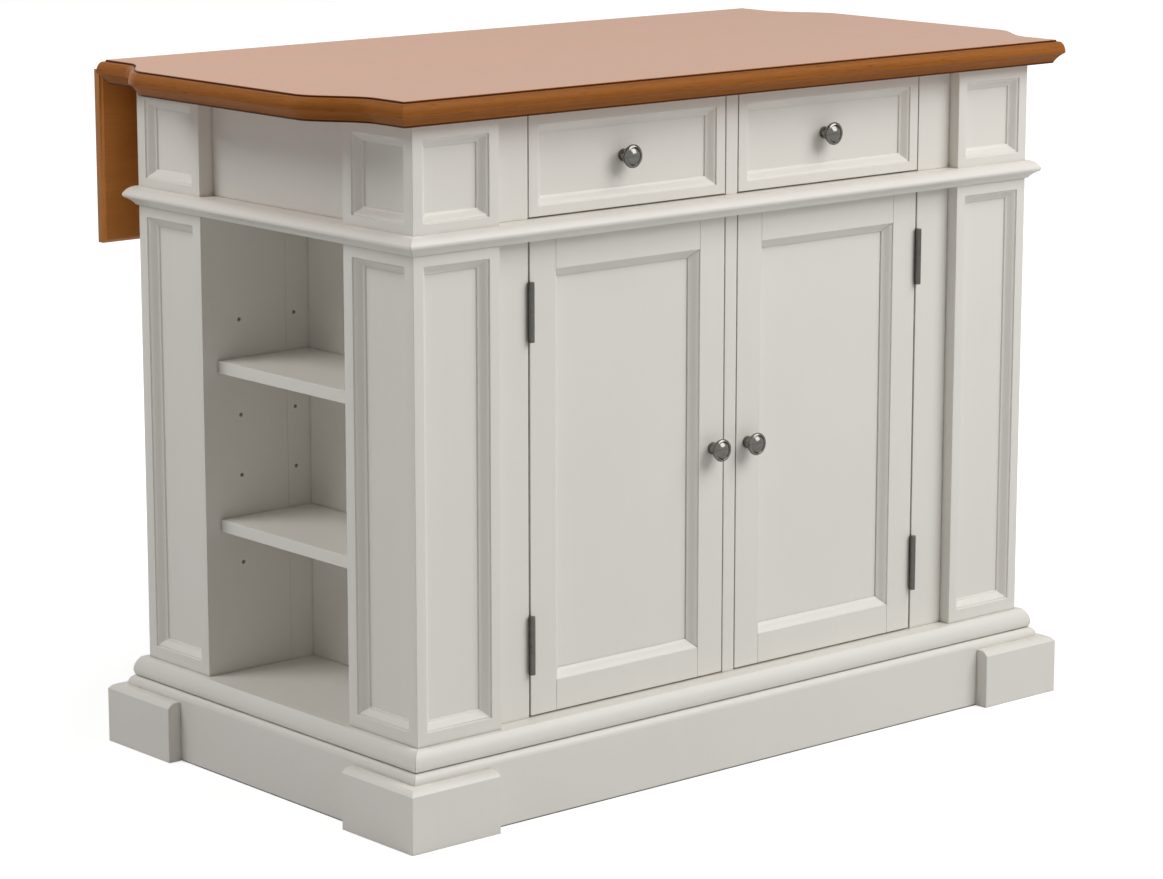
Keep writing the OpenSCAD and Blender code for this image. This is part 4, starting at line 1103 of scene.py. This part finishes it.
@dataclass
class Mouldings(SubAssembly):
    """The belt and base mouldings, the plinth rails and the feet, mitred round the corner posts."""

    belt_ledge: float = 5 * MM
    belt_out: float = 15.8 * MM
    belt_nose_rise: float = 13 * MM
    belt_nose_half: float = 3.4 * MM
    belt_nose_depth: float = 1.5 * MM
    belt_upper_bow: float = 1.1 * MM
    belt_lower_bow: float = 1.2 * MM
    belt_tuck: float = 2 * MM
    base_ledge: float = 8 * MM
    base_out: float = 16.2 * MM
    base_swell_rise: float = 8 * MM
    base_swell_bow: float = 1.8 * MM
    base_tuck: float = 1.7 * MM
    base_tuck_bow: float = 0.2 * MM
    base_quirk: float = 1.3 * MM
    base_quirk_depth: float = 4 * MM
    plinth_out: float = 21.5 * MM
    plinth_thickness: float = 32 * MM
    plinth_cap: float = 5.5 * MM
    plinth_cap_rise: float = 9 * MM
    plinth_cap_bow: float = 1.2 * MM
    plinth_lift: float = 1.6 * MM
    foot_run_x: float = 138.5 * MM
    foot_run_y: float = 140.9 * MM
    foot_cap_run: float = 10 * MM
    foot_cap_rise: float = 6.6 * MM
    foot_cap_bow: float = 1.1 * MM
    foot_lip: float = 0.8 * MM
    foot_lip_rise: float = 0.5 * MM
    mitre_gap: float = 0.1 * MM
    arris: float = 0.5 * MM
    block_arris: float = 0.4 * MM
    crease: float = 32.0

    def belt(self) -> list[Flat]:
        """Draw the belt moulding.

        Returns:
            The reach past the posts, and the height, of each point.
        """
        low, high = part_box("front_mid_rail")
        middle_z = low.z + self.belt_nose_rise
        nose_x = self.belt_out - self.belt_nose_depth
        above, below = (nose_x, middle_z + self.belt_nose_half), (nose_x, middle_z - self.belt_nose_half)
        upper = bowed((self.belt_ledge, high.z), above, self.belt_upper_bow, steps=8)
        nose = bowed(above, below, self.belt_nose_depth, steps=8)
        lower = bowed(below, (self.belt_ledge - self.belt_tuck, low.z), -self.belt_lower_bow, steps=10)
        return [(0.0, low.z), (0.0, high.z), *upper, *nose[1:], *lower[1:]][::-1]

    def base(self) -> list[Flat]:
        """Draw the base moulding.

        Returns:
            The reach past the posts, and the height, of each point.
        """
        low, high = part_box("floor_board")
        swell = (self.base_out, low.z + self.base_swell_rise)
        foot = (self.base_out - self.base_tuck, low.z + self.base_quirk)
        upper = bowed((self.base_ledge, high.z), swell, self.base_swell_bow)
        lower = bowed(swell, foot, self.base_tuck_bow, steps=3)
        inner = foot[0] - self.base_quirk_depth
        quirk = [(inner, foot[1]), (inner, low.z)]
        return [(0.0, low.z), (0.0, high.z), *upper, *lower[1:], *quirk][::-1]

    def plinth(self) -> list[Flat]:
        """Draw a plinth rail, which the feet hold just off the floor.

        Returns:
            The reach past the posts, and the height, of each point.
        """
        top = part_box("floor_board")[0].z
        inner = self.plinth_out - self.plinth_thickness
        cap = bowed((self.plinth_out, top - self.plinth_cap_rise), (self.plinth_out - self.plinth_cap, top),
                    -self.plinth_cap_bow)
        return [(inner, self.plinth_lift), (self.plinth_out, self.plinth_lift), *cap, (inner, top)]

    def foot(self) -> list[Flat]:
        """Draw a foot across its thickness.

        Returns:
            The reach past the plinth, and the height, of each point.
        """
        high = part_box("feet")[1]
        reach = high.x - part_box("post_rear_right")[1].x - self.plinth_out
        shoulder = (reach, high.z - self.foot_cap_rise)
        lip = (reach - self.foot_lip, shoulder[1] + self.foot_lip_rise)
        cap = bowed(lip, (reach - self.foot_cap_run, high.z), -self.foot_cap_bow)
        return [(0.0, 0.0), (reach, 0.0), shoulder, *cap, (0.0, high.z)]

    def corner_feet(self) -> Draft:
        """Wrap a foot round each corner of the plinth, square at its ends and mitred at the corner.

        Returns:
            The draft of the four feet.
        """
        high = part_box("feet")[1]
        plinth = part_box("post_rear_right")[1] + Vector((self.plinth_out, self.plinth_out, 0))
        outline = self.foot()
        draft = Draft()
        for turned_x, turned_y in ((1, 1), (-1, 1), (-1, -1), (1, -1)):
            stations = (
                [(high.x - self.foot_run_x, plinth.y + reach, z) for reach, z in outline],
                [(plinth.x + reach, plinth.y + reach, z) for reach, z in outline],
                [(plinth.x + reach, high.y - self.foot_run_y, z) for reach, z in outline])
            rings = [[draft.point((turned_x * x, turned_y * y, z)) for x, y, z in station]
                     for station in stations]
            if turned_x * turned_y < 0:
                rings.reverse()
            draft.shell(rings)
        return draft

    def frame_round(self, outline: Sequence[Flat]) -> Draft:
        """Run an outline along all four sides, with mitred corners.

        Args:
            outline: reach past the posts, and height.

        Returns:
            The draft of the four strips.
        """
        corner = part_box("post_rear_right")[1]
        draft = Draft()
        for turn in range(4):
            half_run, half_len = (corner.y, corner.x) if turn % 2 == 0 else (corner.x, corner.y)
            spin = Matrix.Rotation(turn * math.pi / 2, 4, "Z")

            def end(sign: int, run: float = half_run, length: float = half_len,
                    spin: Matrix = spin) -> Callable[[Flat], Vector]:
                """Place a point of the outline at one end of a strip."""
                return lambda p: spin @ Vector((sign * (length + p[0] - self.mitre_gap), -run - p[0], p[1]))

            draft.prism(outline, end(1), end(-1))
        return draft

    def build(self) -> list[str]:
        """Make the three mitred frames and the feet.

        Returns:
            The names of what was made or dressed.
        """
        drafts = {"belt_strips": ("belt_moulding", self.frame_round(self.belt())),
                  "base_strips": ("base_moulding", self.frame_round(self.base())),
                  "plinth_boards": ("plinth_rails", self.frame_round(self.plinth())),
                  "corner_feet": ("feet", self.corner_feet())}
        for name, (node, draft) in drafts.items():
            made = draft.piece(name, CABINET, (self.palette.paint,), Slot.PAINTED_WOOD,
                               crease=self.crease, edge=self.arris)
            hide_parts(node)
        return [*drafts, *dress(self.palette.plywood, self.block_arris, "plinth_blocks")]


@dataclass
class Carcass(SubAssembly):
    """Posts, panels, rails, shelves and what lies inside the cabinet."""

    paint_arris: float = 0.8 * MM
    cheek_arris: float = 0.15 * MM
    board_arris: float = 0.4 * MM
    pin_arris: float = 0.25 * MM
    runner_arris: float = 0.15 * MM
    catch_arris: float = 0.8 * MM
    hinge_arris: float = 0.3 * MM
    painted: tuple[str, ...] = (
        "post_front_left", "post_front_right", "post_rear_left", "post_rear_right", "floor_board",
        "partition_left", "partition_right", "bay_ceilings", "end_frieze_panels",
        "face_frame", "front_mid_rail", "back_mid_rail", "back_panel", "back_frieze_panel",
        "cupboard_shelf", "bay_shelves")
    bare: tuple[str, ...] = ("drawer_deck", "drawer_divider", "top_stretchers", "runner_packers")

    def build(self) -> list[str]:
        """Dress every fixed board, the pins, the runners and the catches.

        Returns:
            The names of what was made or dressed.
        """
        return [*dress(self.palette.paint, self.paint_arris, *self.painted),
                *dress(self.palette.plywood, self.board_arris, *self.bare),
                *dress(self.palette.paint, self.cheek_arris, "bay_cheeks"),
                *dress(self.palette.zinc, self.pin_arris, "shelf_pins"),
                *dress(self.palette.zinc, self.runner_arris, "cabinet_runners"),
                *dress(self.palette.plastic, self.catch_arris, "door_catches"),
                *dress(self.palette.pewter, self.hinge_arris, "door_hinge_frame_leaves")]


@dataclass
class Knob:
    """A turned knob on a painted front, with the screw that holds it."""

    radius: float = 15 * MM
    height: float = 25 * MM
    sides: int = 64
    foot_radius: float = 8 * MM
    foot_height: float = 1.6 * MM
    foot_arris: float = 0.4 * MM
    neck_radius: float = 4.6 * MM
    neck_height: float = 9 * MM
    neck_bow: float = 1.4 * MM
    bowl_in: float = 1 * MM
    bowl_bow: float = 1.6 * MM
    rim_drop: float = 3.8 * MM
    rim_height: float = 4.6 * MM
    rim_in: float = 3 * MM
    rim_rise: float = 0.8 * MM
    rim_bow: float = 1.9 * MM
    groove: tuple[Flat, ...] = ((3.6 * MM, 0.2 * MM), (4 * MM, -0.4 * MM))
    dome_in: float = 4.8 * MM
    dome_rise: float = 3.4 * MM
    dome_steps: int = 10
    shank: float = 2 * MM
    grip: float = 7 * MM
    screw_sides: int = 24
    head_radius: float = 3.8 * MM
    head_height: float = 2.4 * MM
    head_recess: float = 1.1 * MM

    def outline(self) -> list[Flat]:
        """Draw the knob from the middle of its foot to the middle of its dome.

        Returns:
            Radius and height of each point.
        """
        rim_z = self.height - self.rim_drop
        foot_top = (self.foot_radius, self.foot_height)
        waist = (self.neck_radius, self.neck_height)
        bowl_top = (self.radius - self.bowl_in, rim_z - self.rim_height)
        rim_top = (self.radius - self.rim_in, rim_z + self.rim_rise)
        foot = [(0.0, 0.0), (self.foot_radius - self.foot_arris, 0.0), (self.foot_radius, self.foot_arris),
                foot_top]
        neck = bowed(foot_top, waist, -self.neck_bow)
        bowl = bowed(waist, bowl_top, -self.bowl_bow)
        rim = bowed(bowl_top, rim_top, -self.rim_bow)
        groove = [(self.radius - inset, rim_z + rise) for inset, rise in self.groove]
        dome = [((self.radius - self.dome_in) * t, self.height - self.dome_rise * t * t)
                for t in (1 - i / self.dome_steps for i in range(self.dome_steps + 1))]
        return [*foot, *neck[1:], *bowl[1:], *rim[1:], *groove, *dome]

    def make(self, body: str, foot_y: float, board: float, palette: Palette) -> str:
        """Turn the knob and its screw in the place of the body's knob.

        Args:
            body: the body that it moves with.
            foot_y: where its foot stands on the front.
            board: thickness of wood between the foot and the screw's head.
            palette: the island's finishes.

        Returns:
            The new piece's name.
        """
        node, name = f"{body}_knob", f"{body}_turned_knob"
        low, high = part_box(node)
        centre = (low + high) / 2
        centre.y = foot_y
        outwards = Matrix.Translation(centre) @ Matrix.Rotation(math.pi / 2, 4, "X")
        inwards = (Matrix.Translation(centre + Vector((0, board, 0)))
                   @ Matrix.Rotation(-math.pi / 2, 4, "X"))
        draft = Draft()
        draft.lathe(self.outline(), outwards, self.sides)
        for radius, start, end, place in ((self.shank, -board, self.grip, outwards),
                                          (self.head_radius, 0.0, self.head_height / 2, inwards)):
            draft.lathe([(0.0, start), (radius, start), (radius, end), (0.0, end)], place, self.screw_sides)
        raised = inwards @ Matrix.Translation((0, 0, self.head_height / 2))
        draft.screw(raised, self.head_radius, self.head_height / 2, self.head_recess)
        made = draft.piece(name, body, (palette.polished,), Slot.PEWTER, crease=40)
        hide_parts(node)
        return name


@dataclass
class Door(SubAssembly):
    """One door with its knob, and the screws of its hinges and of its strike."""

    side: Side
    arris: float = 0.7 * MM
    panel_arris: float = 0.3 * MM
    fitting_arris: float = 0.3 * MM
    hinge_half: float = 37.5 * MM
    hinge_gap: float = 3 * MM
    plate: float = 1.4 * MM
    plate_reach: float = 24 * MM
    plate_screw: ScrewHead = ScrewHead(radius=3.1 * MM, rise=0.06 * MM, recess=0.5 * MM)
    plate_screw_gap: float = 25 * MM
    strike_x: float = 62 * MM
    strike_plate: float = 1.2 * MM
    strike_drop: float = 11 * MM
    strike_screw: ScrewHead = ScrewHead(radius=2.2 * MM, rise=0.1 * MM, recess=0.4 * MM)
    strike_screw_gap: float = 20 * MM

    def hinge_middles(self) -> list[float]:
        """Return the heights of the middles of the two hinges."""
        low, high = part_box("door_hinge_frame_leaves")
        return [low.z + self.hinge_half, high.z - self.hinge_half]

    def build(self) -> list[str]:
        """Dress the door, turn its knob and drive its screws.

        Returns:
            The names of what was made or dressed.
        """
        body = f"door_{self.side.word}"
        low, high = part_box(f"{body}_frame")
        return [*dress(self.palette.paint, self.arris, f"{body}_frame"),
                *dress(self.palette.paint, self.panel_arris, f"{body}_panel"),
                *dress(self.palette.pewter, self.fitting_arris, f"{body}_fittings"),
                Knob().make(body, low.y, high.y - low.y, self.palette),
                *self.screws(body)]

    def screws(self, body: str) -> list[str]:
        """Drive three screws through each hinge plate, and two through the strike.

        Args:
            body: the door's body.

        Returns:
            The names of the new pieces.
        """
        sign = self.side.value
        low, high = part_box(f"{body}_frame")
        edge_x = high.x if sign > 0 else -low.x
        on_door, on_frame = Draft(), Draft()
        plates = ((on_door, edge_x + self.plate, 1), (on_frame, edge_x + self.hinge_gap - self.plate, -1))
        for height in self.hinge_middles():
            for step in (-1, 0, 1):
                for draft, x, way in plates:
                    seat = (sign * x, low.y + self.plate_reach / 2, height + step * self.plate_screw_gap)
                    self.plate_screw.drive(draft, seat, sign * way * math.pi / 2, axis="Y")
        for step in (-1, 1):
            seat = (sign * self.strike_x + step * self.strike_screw_gap / 2, high.y + self.strike_plate,
                    high.z - self.strike_drop)
            self.strike_screw.drive(on_door, seat, -math.pi / 2)
        names = [f"{body}_plate_screws", f"{body}_frame_screws"]
        on_door.piece(names[0], body, (self.palette.pewter,), Slot.PEWTER)
        on_frame.piece(names[1], CABINET, (self.palette.pewter,), Slot.PEWTER)
        return names


@dataclass
class Drawer(SubAssembly):
    """One drawer with its front, box, bottom, runners and knob."""

    side: Side
    front_arris: float = 0.7 * MM
    box_arris: float = 0.5 * MM
    bottom_arris: float = 0.2 * MM
    runner_arris: float = 0.15 * MM
    recess: float = 12 * MM
    box_side: float = 12 * MM

    def build(self) -> list[str]:
        """Dress the drawer and turn its knob.

        Returns:
            The names of what was made or dressed.
        """
        body = f"drawer_{self.side.word}"
        low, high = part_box(f"{body}_front")
        foot_y = low.y + self.recess
        return [*dress(self.palette.paint, self.front_arris, f"{body}_front"),
                *dress(self.palette.plywood, self.box_arris, f"{body}_box"),
                *dress(self.palette.plywood, self.bottom_arris, f"{body}_bottom"),
                *dress(self.palette.zinc, self.runner_arris, f"{body}_runners"),
                Knob().make(body, foot_y, high.y - foot_y + self.box_side, self.palette)]


@dataclass
class DropLeaf(SubAssembly):
    """The hinged leaf with its three hinges and their screws."""

    arris: float = 0.6 * MM
    hinge_arris: float = 0.25 * MM
    hinge_x: float = 400 * MM
    screw_x: float = 18 * MM
    leaf_screw: ScrewHead = ScrewHead(radius=3 * MM, rise=0.05 * MM, recess=0.5 * MM)
    top_screw: ScrewHead = ScrewHead(radius=3 * MM, rise=0.3 * MM, recess=0.5 * MM)
    near_row: float = 10 * MM
    far_row: float = 22 * MM
    top_row: float = 12 * MM
    top_plate: float = 1.6 * MM

    def build(self) -> list[str]:
        """Dress the leaf and its hinges, and drive the screws of both plates.

        Returns:
            The names of what was made or dressed.
        """
        made = dress(self.palette.leaf, self.arris, "drop_leaf", held=True)
        made += dress(self.palette.pewter, self.hinge_arris, "leaf_hinge_fixed", "leaf_hinge_moving")
        plate_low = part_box("leaf_hinge_moving")[0].z
        fixed_low, fixed_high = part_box("leaf_hinge_fixed")
        face_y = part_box("drop_leaf")[0].y
        on_leaf, on_top = Draft(), Draft()
        for hinge in (-self.hinge_x, 0.0, self.hinge_x):
            for dx, dz in ((-1, self.near_row), (1, self.near_row), (0, self.far_row)):
                seat = (hinge + dx * self.screw_x, face_y, plate_low + dz)
                self.leaf_screw.drive(on_leaf, seat, math.pi / 2)
            for dx in (-1, 1):
                seat = (hinge + dx * self.screw_x, fixed_low.y + self.top_row, fixed_high.z - self.top_plate)
                self.top_screw.drive(on_top, seat, math.pi)
        on_leaf.piece("leaf_plate_screws", "leaf", (self.palette.pewter,), Slot.PEWTER)
        on_top.piece("leaf_top_screws", CABINET, (self.palette.pewter,), Slot.PEWTER)
        return [*made, "leaf_plate_screws", "leaf_top_screws"]


@dataclass
class FoldingSupports(SubAssembly):
    """The two folding supports: brackets, arms, levers, pins and torsion springs."""

    arm_x: float = 240 * MM
    sheet_arris: float = 0.3 * MM
    coil_turns: int = 4
    coil_steps: int = 20
    coil_start: float = -0.62 * math.pi
    coil_radius: float = 2.75 * MM
    coil_length: float = 2.3 * MM
    wire_radius: float = 0.3 * MM
    leg_rise: float = 1 * MM
    plate: float = 2.5 * MM
    screw_x: float = 22 * MM
    screw_inset: float = 9 * MM
    pan_screw: ScrewHead = ScrewHead(radius=3.6 * MM, rise=1.6 * MM, recess=1 * MM)

    def build(self) -> list[str]:
        """Dress the steel, wind the springs and drive the brackets' screws.

        Returns:
            The names of what was made or dressed.
        """
        arms = [f"support_arm_{side.word}" for side in Side]
        levers = [f"release_lever_{side.word}" for side in Side]
        made = dress(self.palette.zinc, self.sheet_arris, "support_brackets", "support_pins", *levers)
        made += dress(self.palette.zinc, self.sheet_arris, *arms, held=True)
        self.wind_springs()
        self.drive_screws()
        return [*made, "lever_torsion_springs", "bracket_screws"]

    def lever_pin(self) -> Flat:
        """Return the place of the lever pins: Y and Z."""
        pivot = next(j for j in frame["joints"] if j["name"] == "lever_left_pivot")["pos_m"]
        return pivot[1], pivot[2]

    def wind_springs(self) -> None:
        """Wind one torsion spring beside each lever, with a leg to the plate and a leg to the lever."""
        low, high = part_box("lever_springs")
        pin_y, pin_z = self.lever_pin()
        start, end = high.x - self.coil_length, high.x - self.wire_radius
        steps = self.coil_turns * self.coil_steps
        draft = Draft()
        for side in Side:
            path = [Vector((side.value * start, low.y + self.wire_radius, low.z + self.leg_rise))]
            for step in range(steps + 1):
                angle = self.coil_start + 2 * math.pi * step / self.coil_steps
                x = start + (end - start) * step / steps
                path.append(Vector((side.value * x, pin_y + self.coil_radius * math.cos(angle),
                                    pin_z + self.coil_radius * math.sin(angle))))
            draft.tube(path, self.wire_radius)
        springs = draft.piece("lever_torsion_springs", CABINET, (self.palette.zinc,), Slot.ZINC_STEEL)
        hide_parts("lever_springs")

    def drive_screws(self) -> None:
        """Drive four pan head screws through each bracket's plate."""
        low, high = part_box("support_brackets")
        draft = Draft()
        for side in Side:
            for dx in (-1, 1):
                for z in (low.z + self.screw_inset, high.z - self.screw_inset):
                    seat = (side.value * self.arm_x + dx * self.screw_x, low.y + self.plate, z)
                    self.pan_screw.drive(draft, seat, -math.pi / 2)
        draft.piece("bracket_screws", CABINET, (self.palette.zinc,), Slot.ZINC_STEEL)


# ------------------------------------------------------------------------------------ the studio


@dataclass(frozen=True)
class Softbox:
    """A square softbox that looks at the middle of the island, with its power in watts."""

    aim: ClassVar[Triple] = (0.0, 0.0, 0.45)

    name: str
    place: Triple
    size: float
    power: float

    def hang(self) -> None:
        """Hang the lamp and turn it to the island."""
        data = bpy.data.lights.new(self.name, "AREA")
        data.shape = "SQUARE"
        data.size = self.size
        data.energy = self.power
        lamp = bpy.data.objects.new(self.name, data)
        lamp.location = self.place
        lamp.rotation_mode = "QUATERNION"
        lamp.rotation_quaternion = (Vector(self.aim) - Vector(self.place)).to_track_quat("-Z", "Y")
        bpy.context.scene.collection.objects.link(lamp)


@dataclass
class Studio:
    """The pale floor, the soft light, the white surroundings and the camera."""

    lamps: tuple[Softbox, ...] = (
        Softbox("front_softbox", (1.9, -3.3, 3.6), size=3.4, power=173.0),
        Softbox("left_softbox", (-2.4, 1.2, 2.9), size=1.6, power=50.0),
        Softbox("overhead_softbox", (0.4, -0.2, 3.8), size=2.4, power=5.0))
    surround: float = 0.19
    floor_half: float = 9.0
    floor_cells: float = 3.0
    floor_dark: Triple = linear(204, 204, 204)
    floor_light: Triple = linear(208, 208, 208)
    floor_roughness: float = 0.9
    glow_span: Flat = (0.7, 1.6)
    glow: Flat = (0.66, 1.0)
    mirrored_glow: float = 0.5
    dark_edge: float = 1 * MM
    camera_at: Triple = (-3.2534, -3.7573, 1.4185)
    heading: float = 40.711
    pitch: float = 11.731
    lens: float = 116.167
    sensor: float = 36.0
    clip: Flat = (0.05, 60.0)

    def build(self) -> list[str]:
        """Lay the floor, hang the lamps, and set the world and the camera.

        Returns:
            The names of what was made.
        """
        self.floor()
        for lamp in self.lamps:
            lamp.hang()
        self.world()
        self.camera()
        bpy.context.scene.view_settings.view_transform = "Standard"
        return ["studio_floor", *(lamp.name for lamp in self.lamps), "camera"]

    def floor(self) -> None:
        """Lay the floor, white to the camera wherever the light reaches it."""
        half = self.floor_half
        mesh = bpy.data.meshes.new("studio_floor")
        mesh.from_pydata([(-half, -half, 0), (half, -half, 0), (half, half, 0), (-half, half, 0)], [],
                         [(0, 1, 2, 3)])
        floor = bpy.data.objects.new("studio_floor", mesh)
        bpy.context.scene.collection.objects.link(floor)
        material = bpy.data.materials.new("pale_floor")
        material.use_nodes = True
        graph = Graph(material.node_tree)
        place = graph.add("ShaderNodeTexCoord").outputs["Object"]
        tone = graph.blend(graph.noise(place, self.floor_cells), self.floor_dark, self.floor_light)
        away = graph.add("ShaderNodeVectorMath", operation="LENGTH")
        graph.feed(away.inputs[0], place)
        glow = graph.remap(away.outputs["Value"], self.glow_span, self.glow)
        glow = graph.maths("MULTIPLY", glow, self.open_floor(graph, place))
        rays = graph.add("ShaderNodeLightPath")
        seen = graph.maths("MULTIPLY", rays.outputs["Is Camera Ray"], glow)
        strength = graph.plus(seen, rays.outputs["Is Glossy Ray"], self.mirrored_glow)
        graph.supply(material.node_tree.nodes["Principled BSDF"], Base_Color=tone, Emission_Color=WHITE,
                     Emission_Strength=strength, Roughness=self.floor_roughness, Specular_IOR_Level=0.0)
        mesh.materials.append(material)

    def open_floor(self, graph: Graph, place: Socket) -> Socket:
        """Mask the floor outside the plinth, so that the shadow under the island stays dark.

        Args:
            graph: the floor material's graph.
            place: the socket of the place on the floor.

        Returns:
            The mask's socket: 1 on the open floor, 0 under the plinth.
        """
        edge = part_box("plinth_rails")[1] - Vector((self.dark_edge, self.dark_edge, 0))
        x, y, _ = graph.parts(place)
        along = graph.maths("GREATER_THAN", graph.maths("ABSOLUTE", x), edge.x)
        across = graph.maths("GREATER_THAN", graph.maths("ABSOLUTE", y), edge.y)
        return graph.maths("MAXIMUM", along, across)

    def world(self) -> None:
        """Surround the island with white for the camera and for reflections, and with soft light."""
        world = bpy.data.worlds.new("white_surround")
        world.use_nodes = True
        bpy.context.scene.world = world
        graph = Graph(world.node_tree)
        rays = graph.add("ShaderNodeLightPath")
        seen = graph.maths("ADD", rays.outputs["Is Camera Ray"], rays.outputs["Is Glossy Ray"])
        seen = graph.maths("ADD", seen, rays.outputs["Is Transmission Ray"], clamp=True)
        strength = graph.remap(seen, FULL, (self.surround, 1.0))
        graph.supply(world.node_tree.nodes["Background"], Color=WHITE, Strength=strength)

    def camera(self) -> None:
        """Set the camera where the photograph was taken from."""
        data = bpy.data.cameras.new("camera")
        data.lens = self.lens
        data.sensor_width = self.sensor
        data.clip_start, data.clip_end = self.clip
        camera = bpy.data.objects.new("camera", data)
        camera.location = self.camera_at
        camera.rotation_euler = (math.radians(90 - self.pitch), 0.0, -math.radians(self.heading))
        bpy.context.scene.collection.objects.link(camera)
        bpy.context.scene.camera = camera


# ------------------------------------------------------------------------------------------ main


def main() -> None:
    """Dress the island and set its studio."""
    logging.basicConfig(level=logging.INFO, format="%(name)s: %(message)s")
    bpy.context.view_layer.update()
    palette = Palette()
    parts = [Worktop(palette), Mouldings(palette), Carcass(palette),
             *(Door(palette, side) for side in Side), *(Drawer(palette, side) for side in Side),
             DropLeaf(palette), FoldingSupports(palette), Studio()]
    for part in parts:
        for piece in part.build():
            LOG.info("%s: %s", type(part).__name__, piece)


if __name__ == "__main__":
    main()
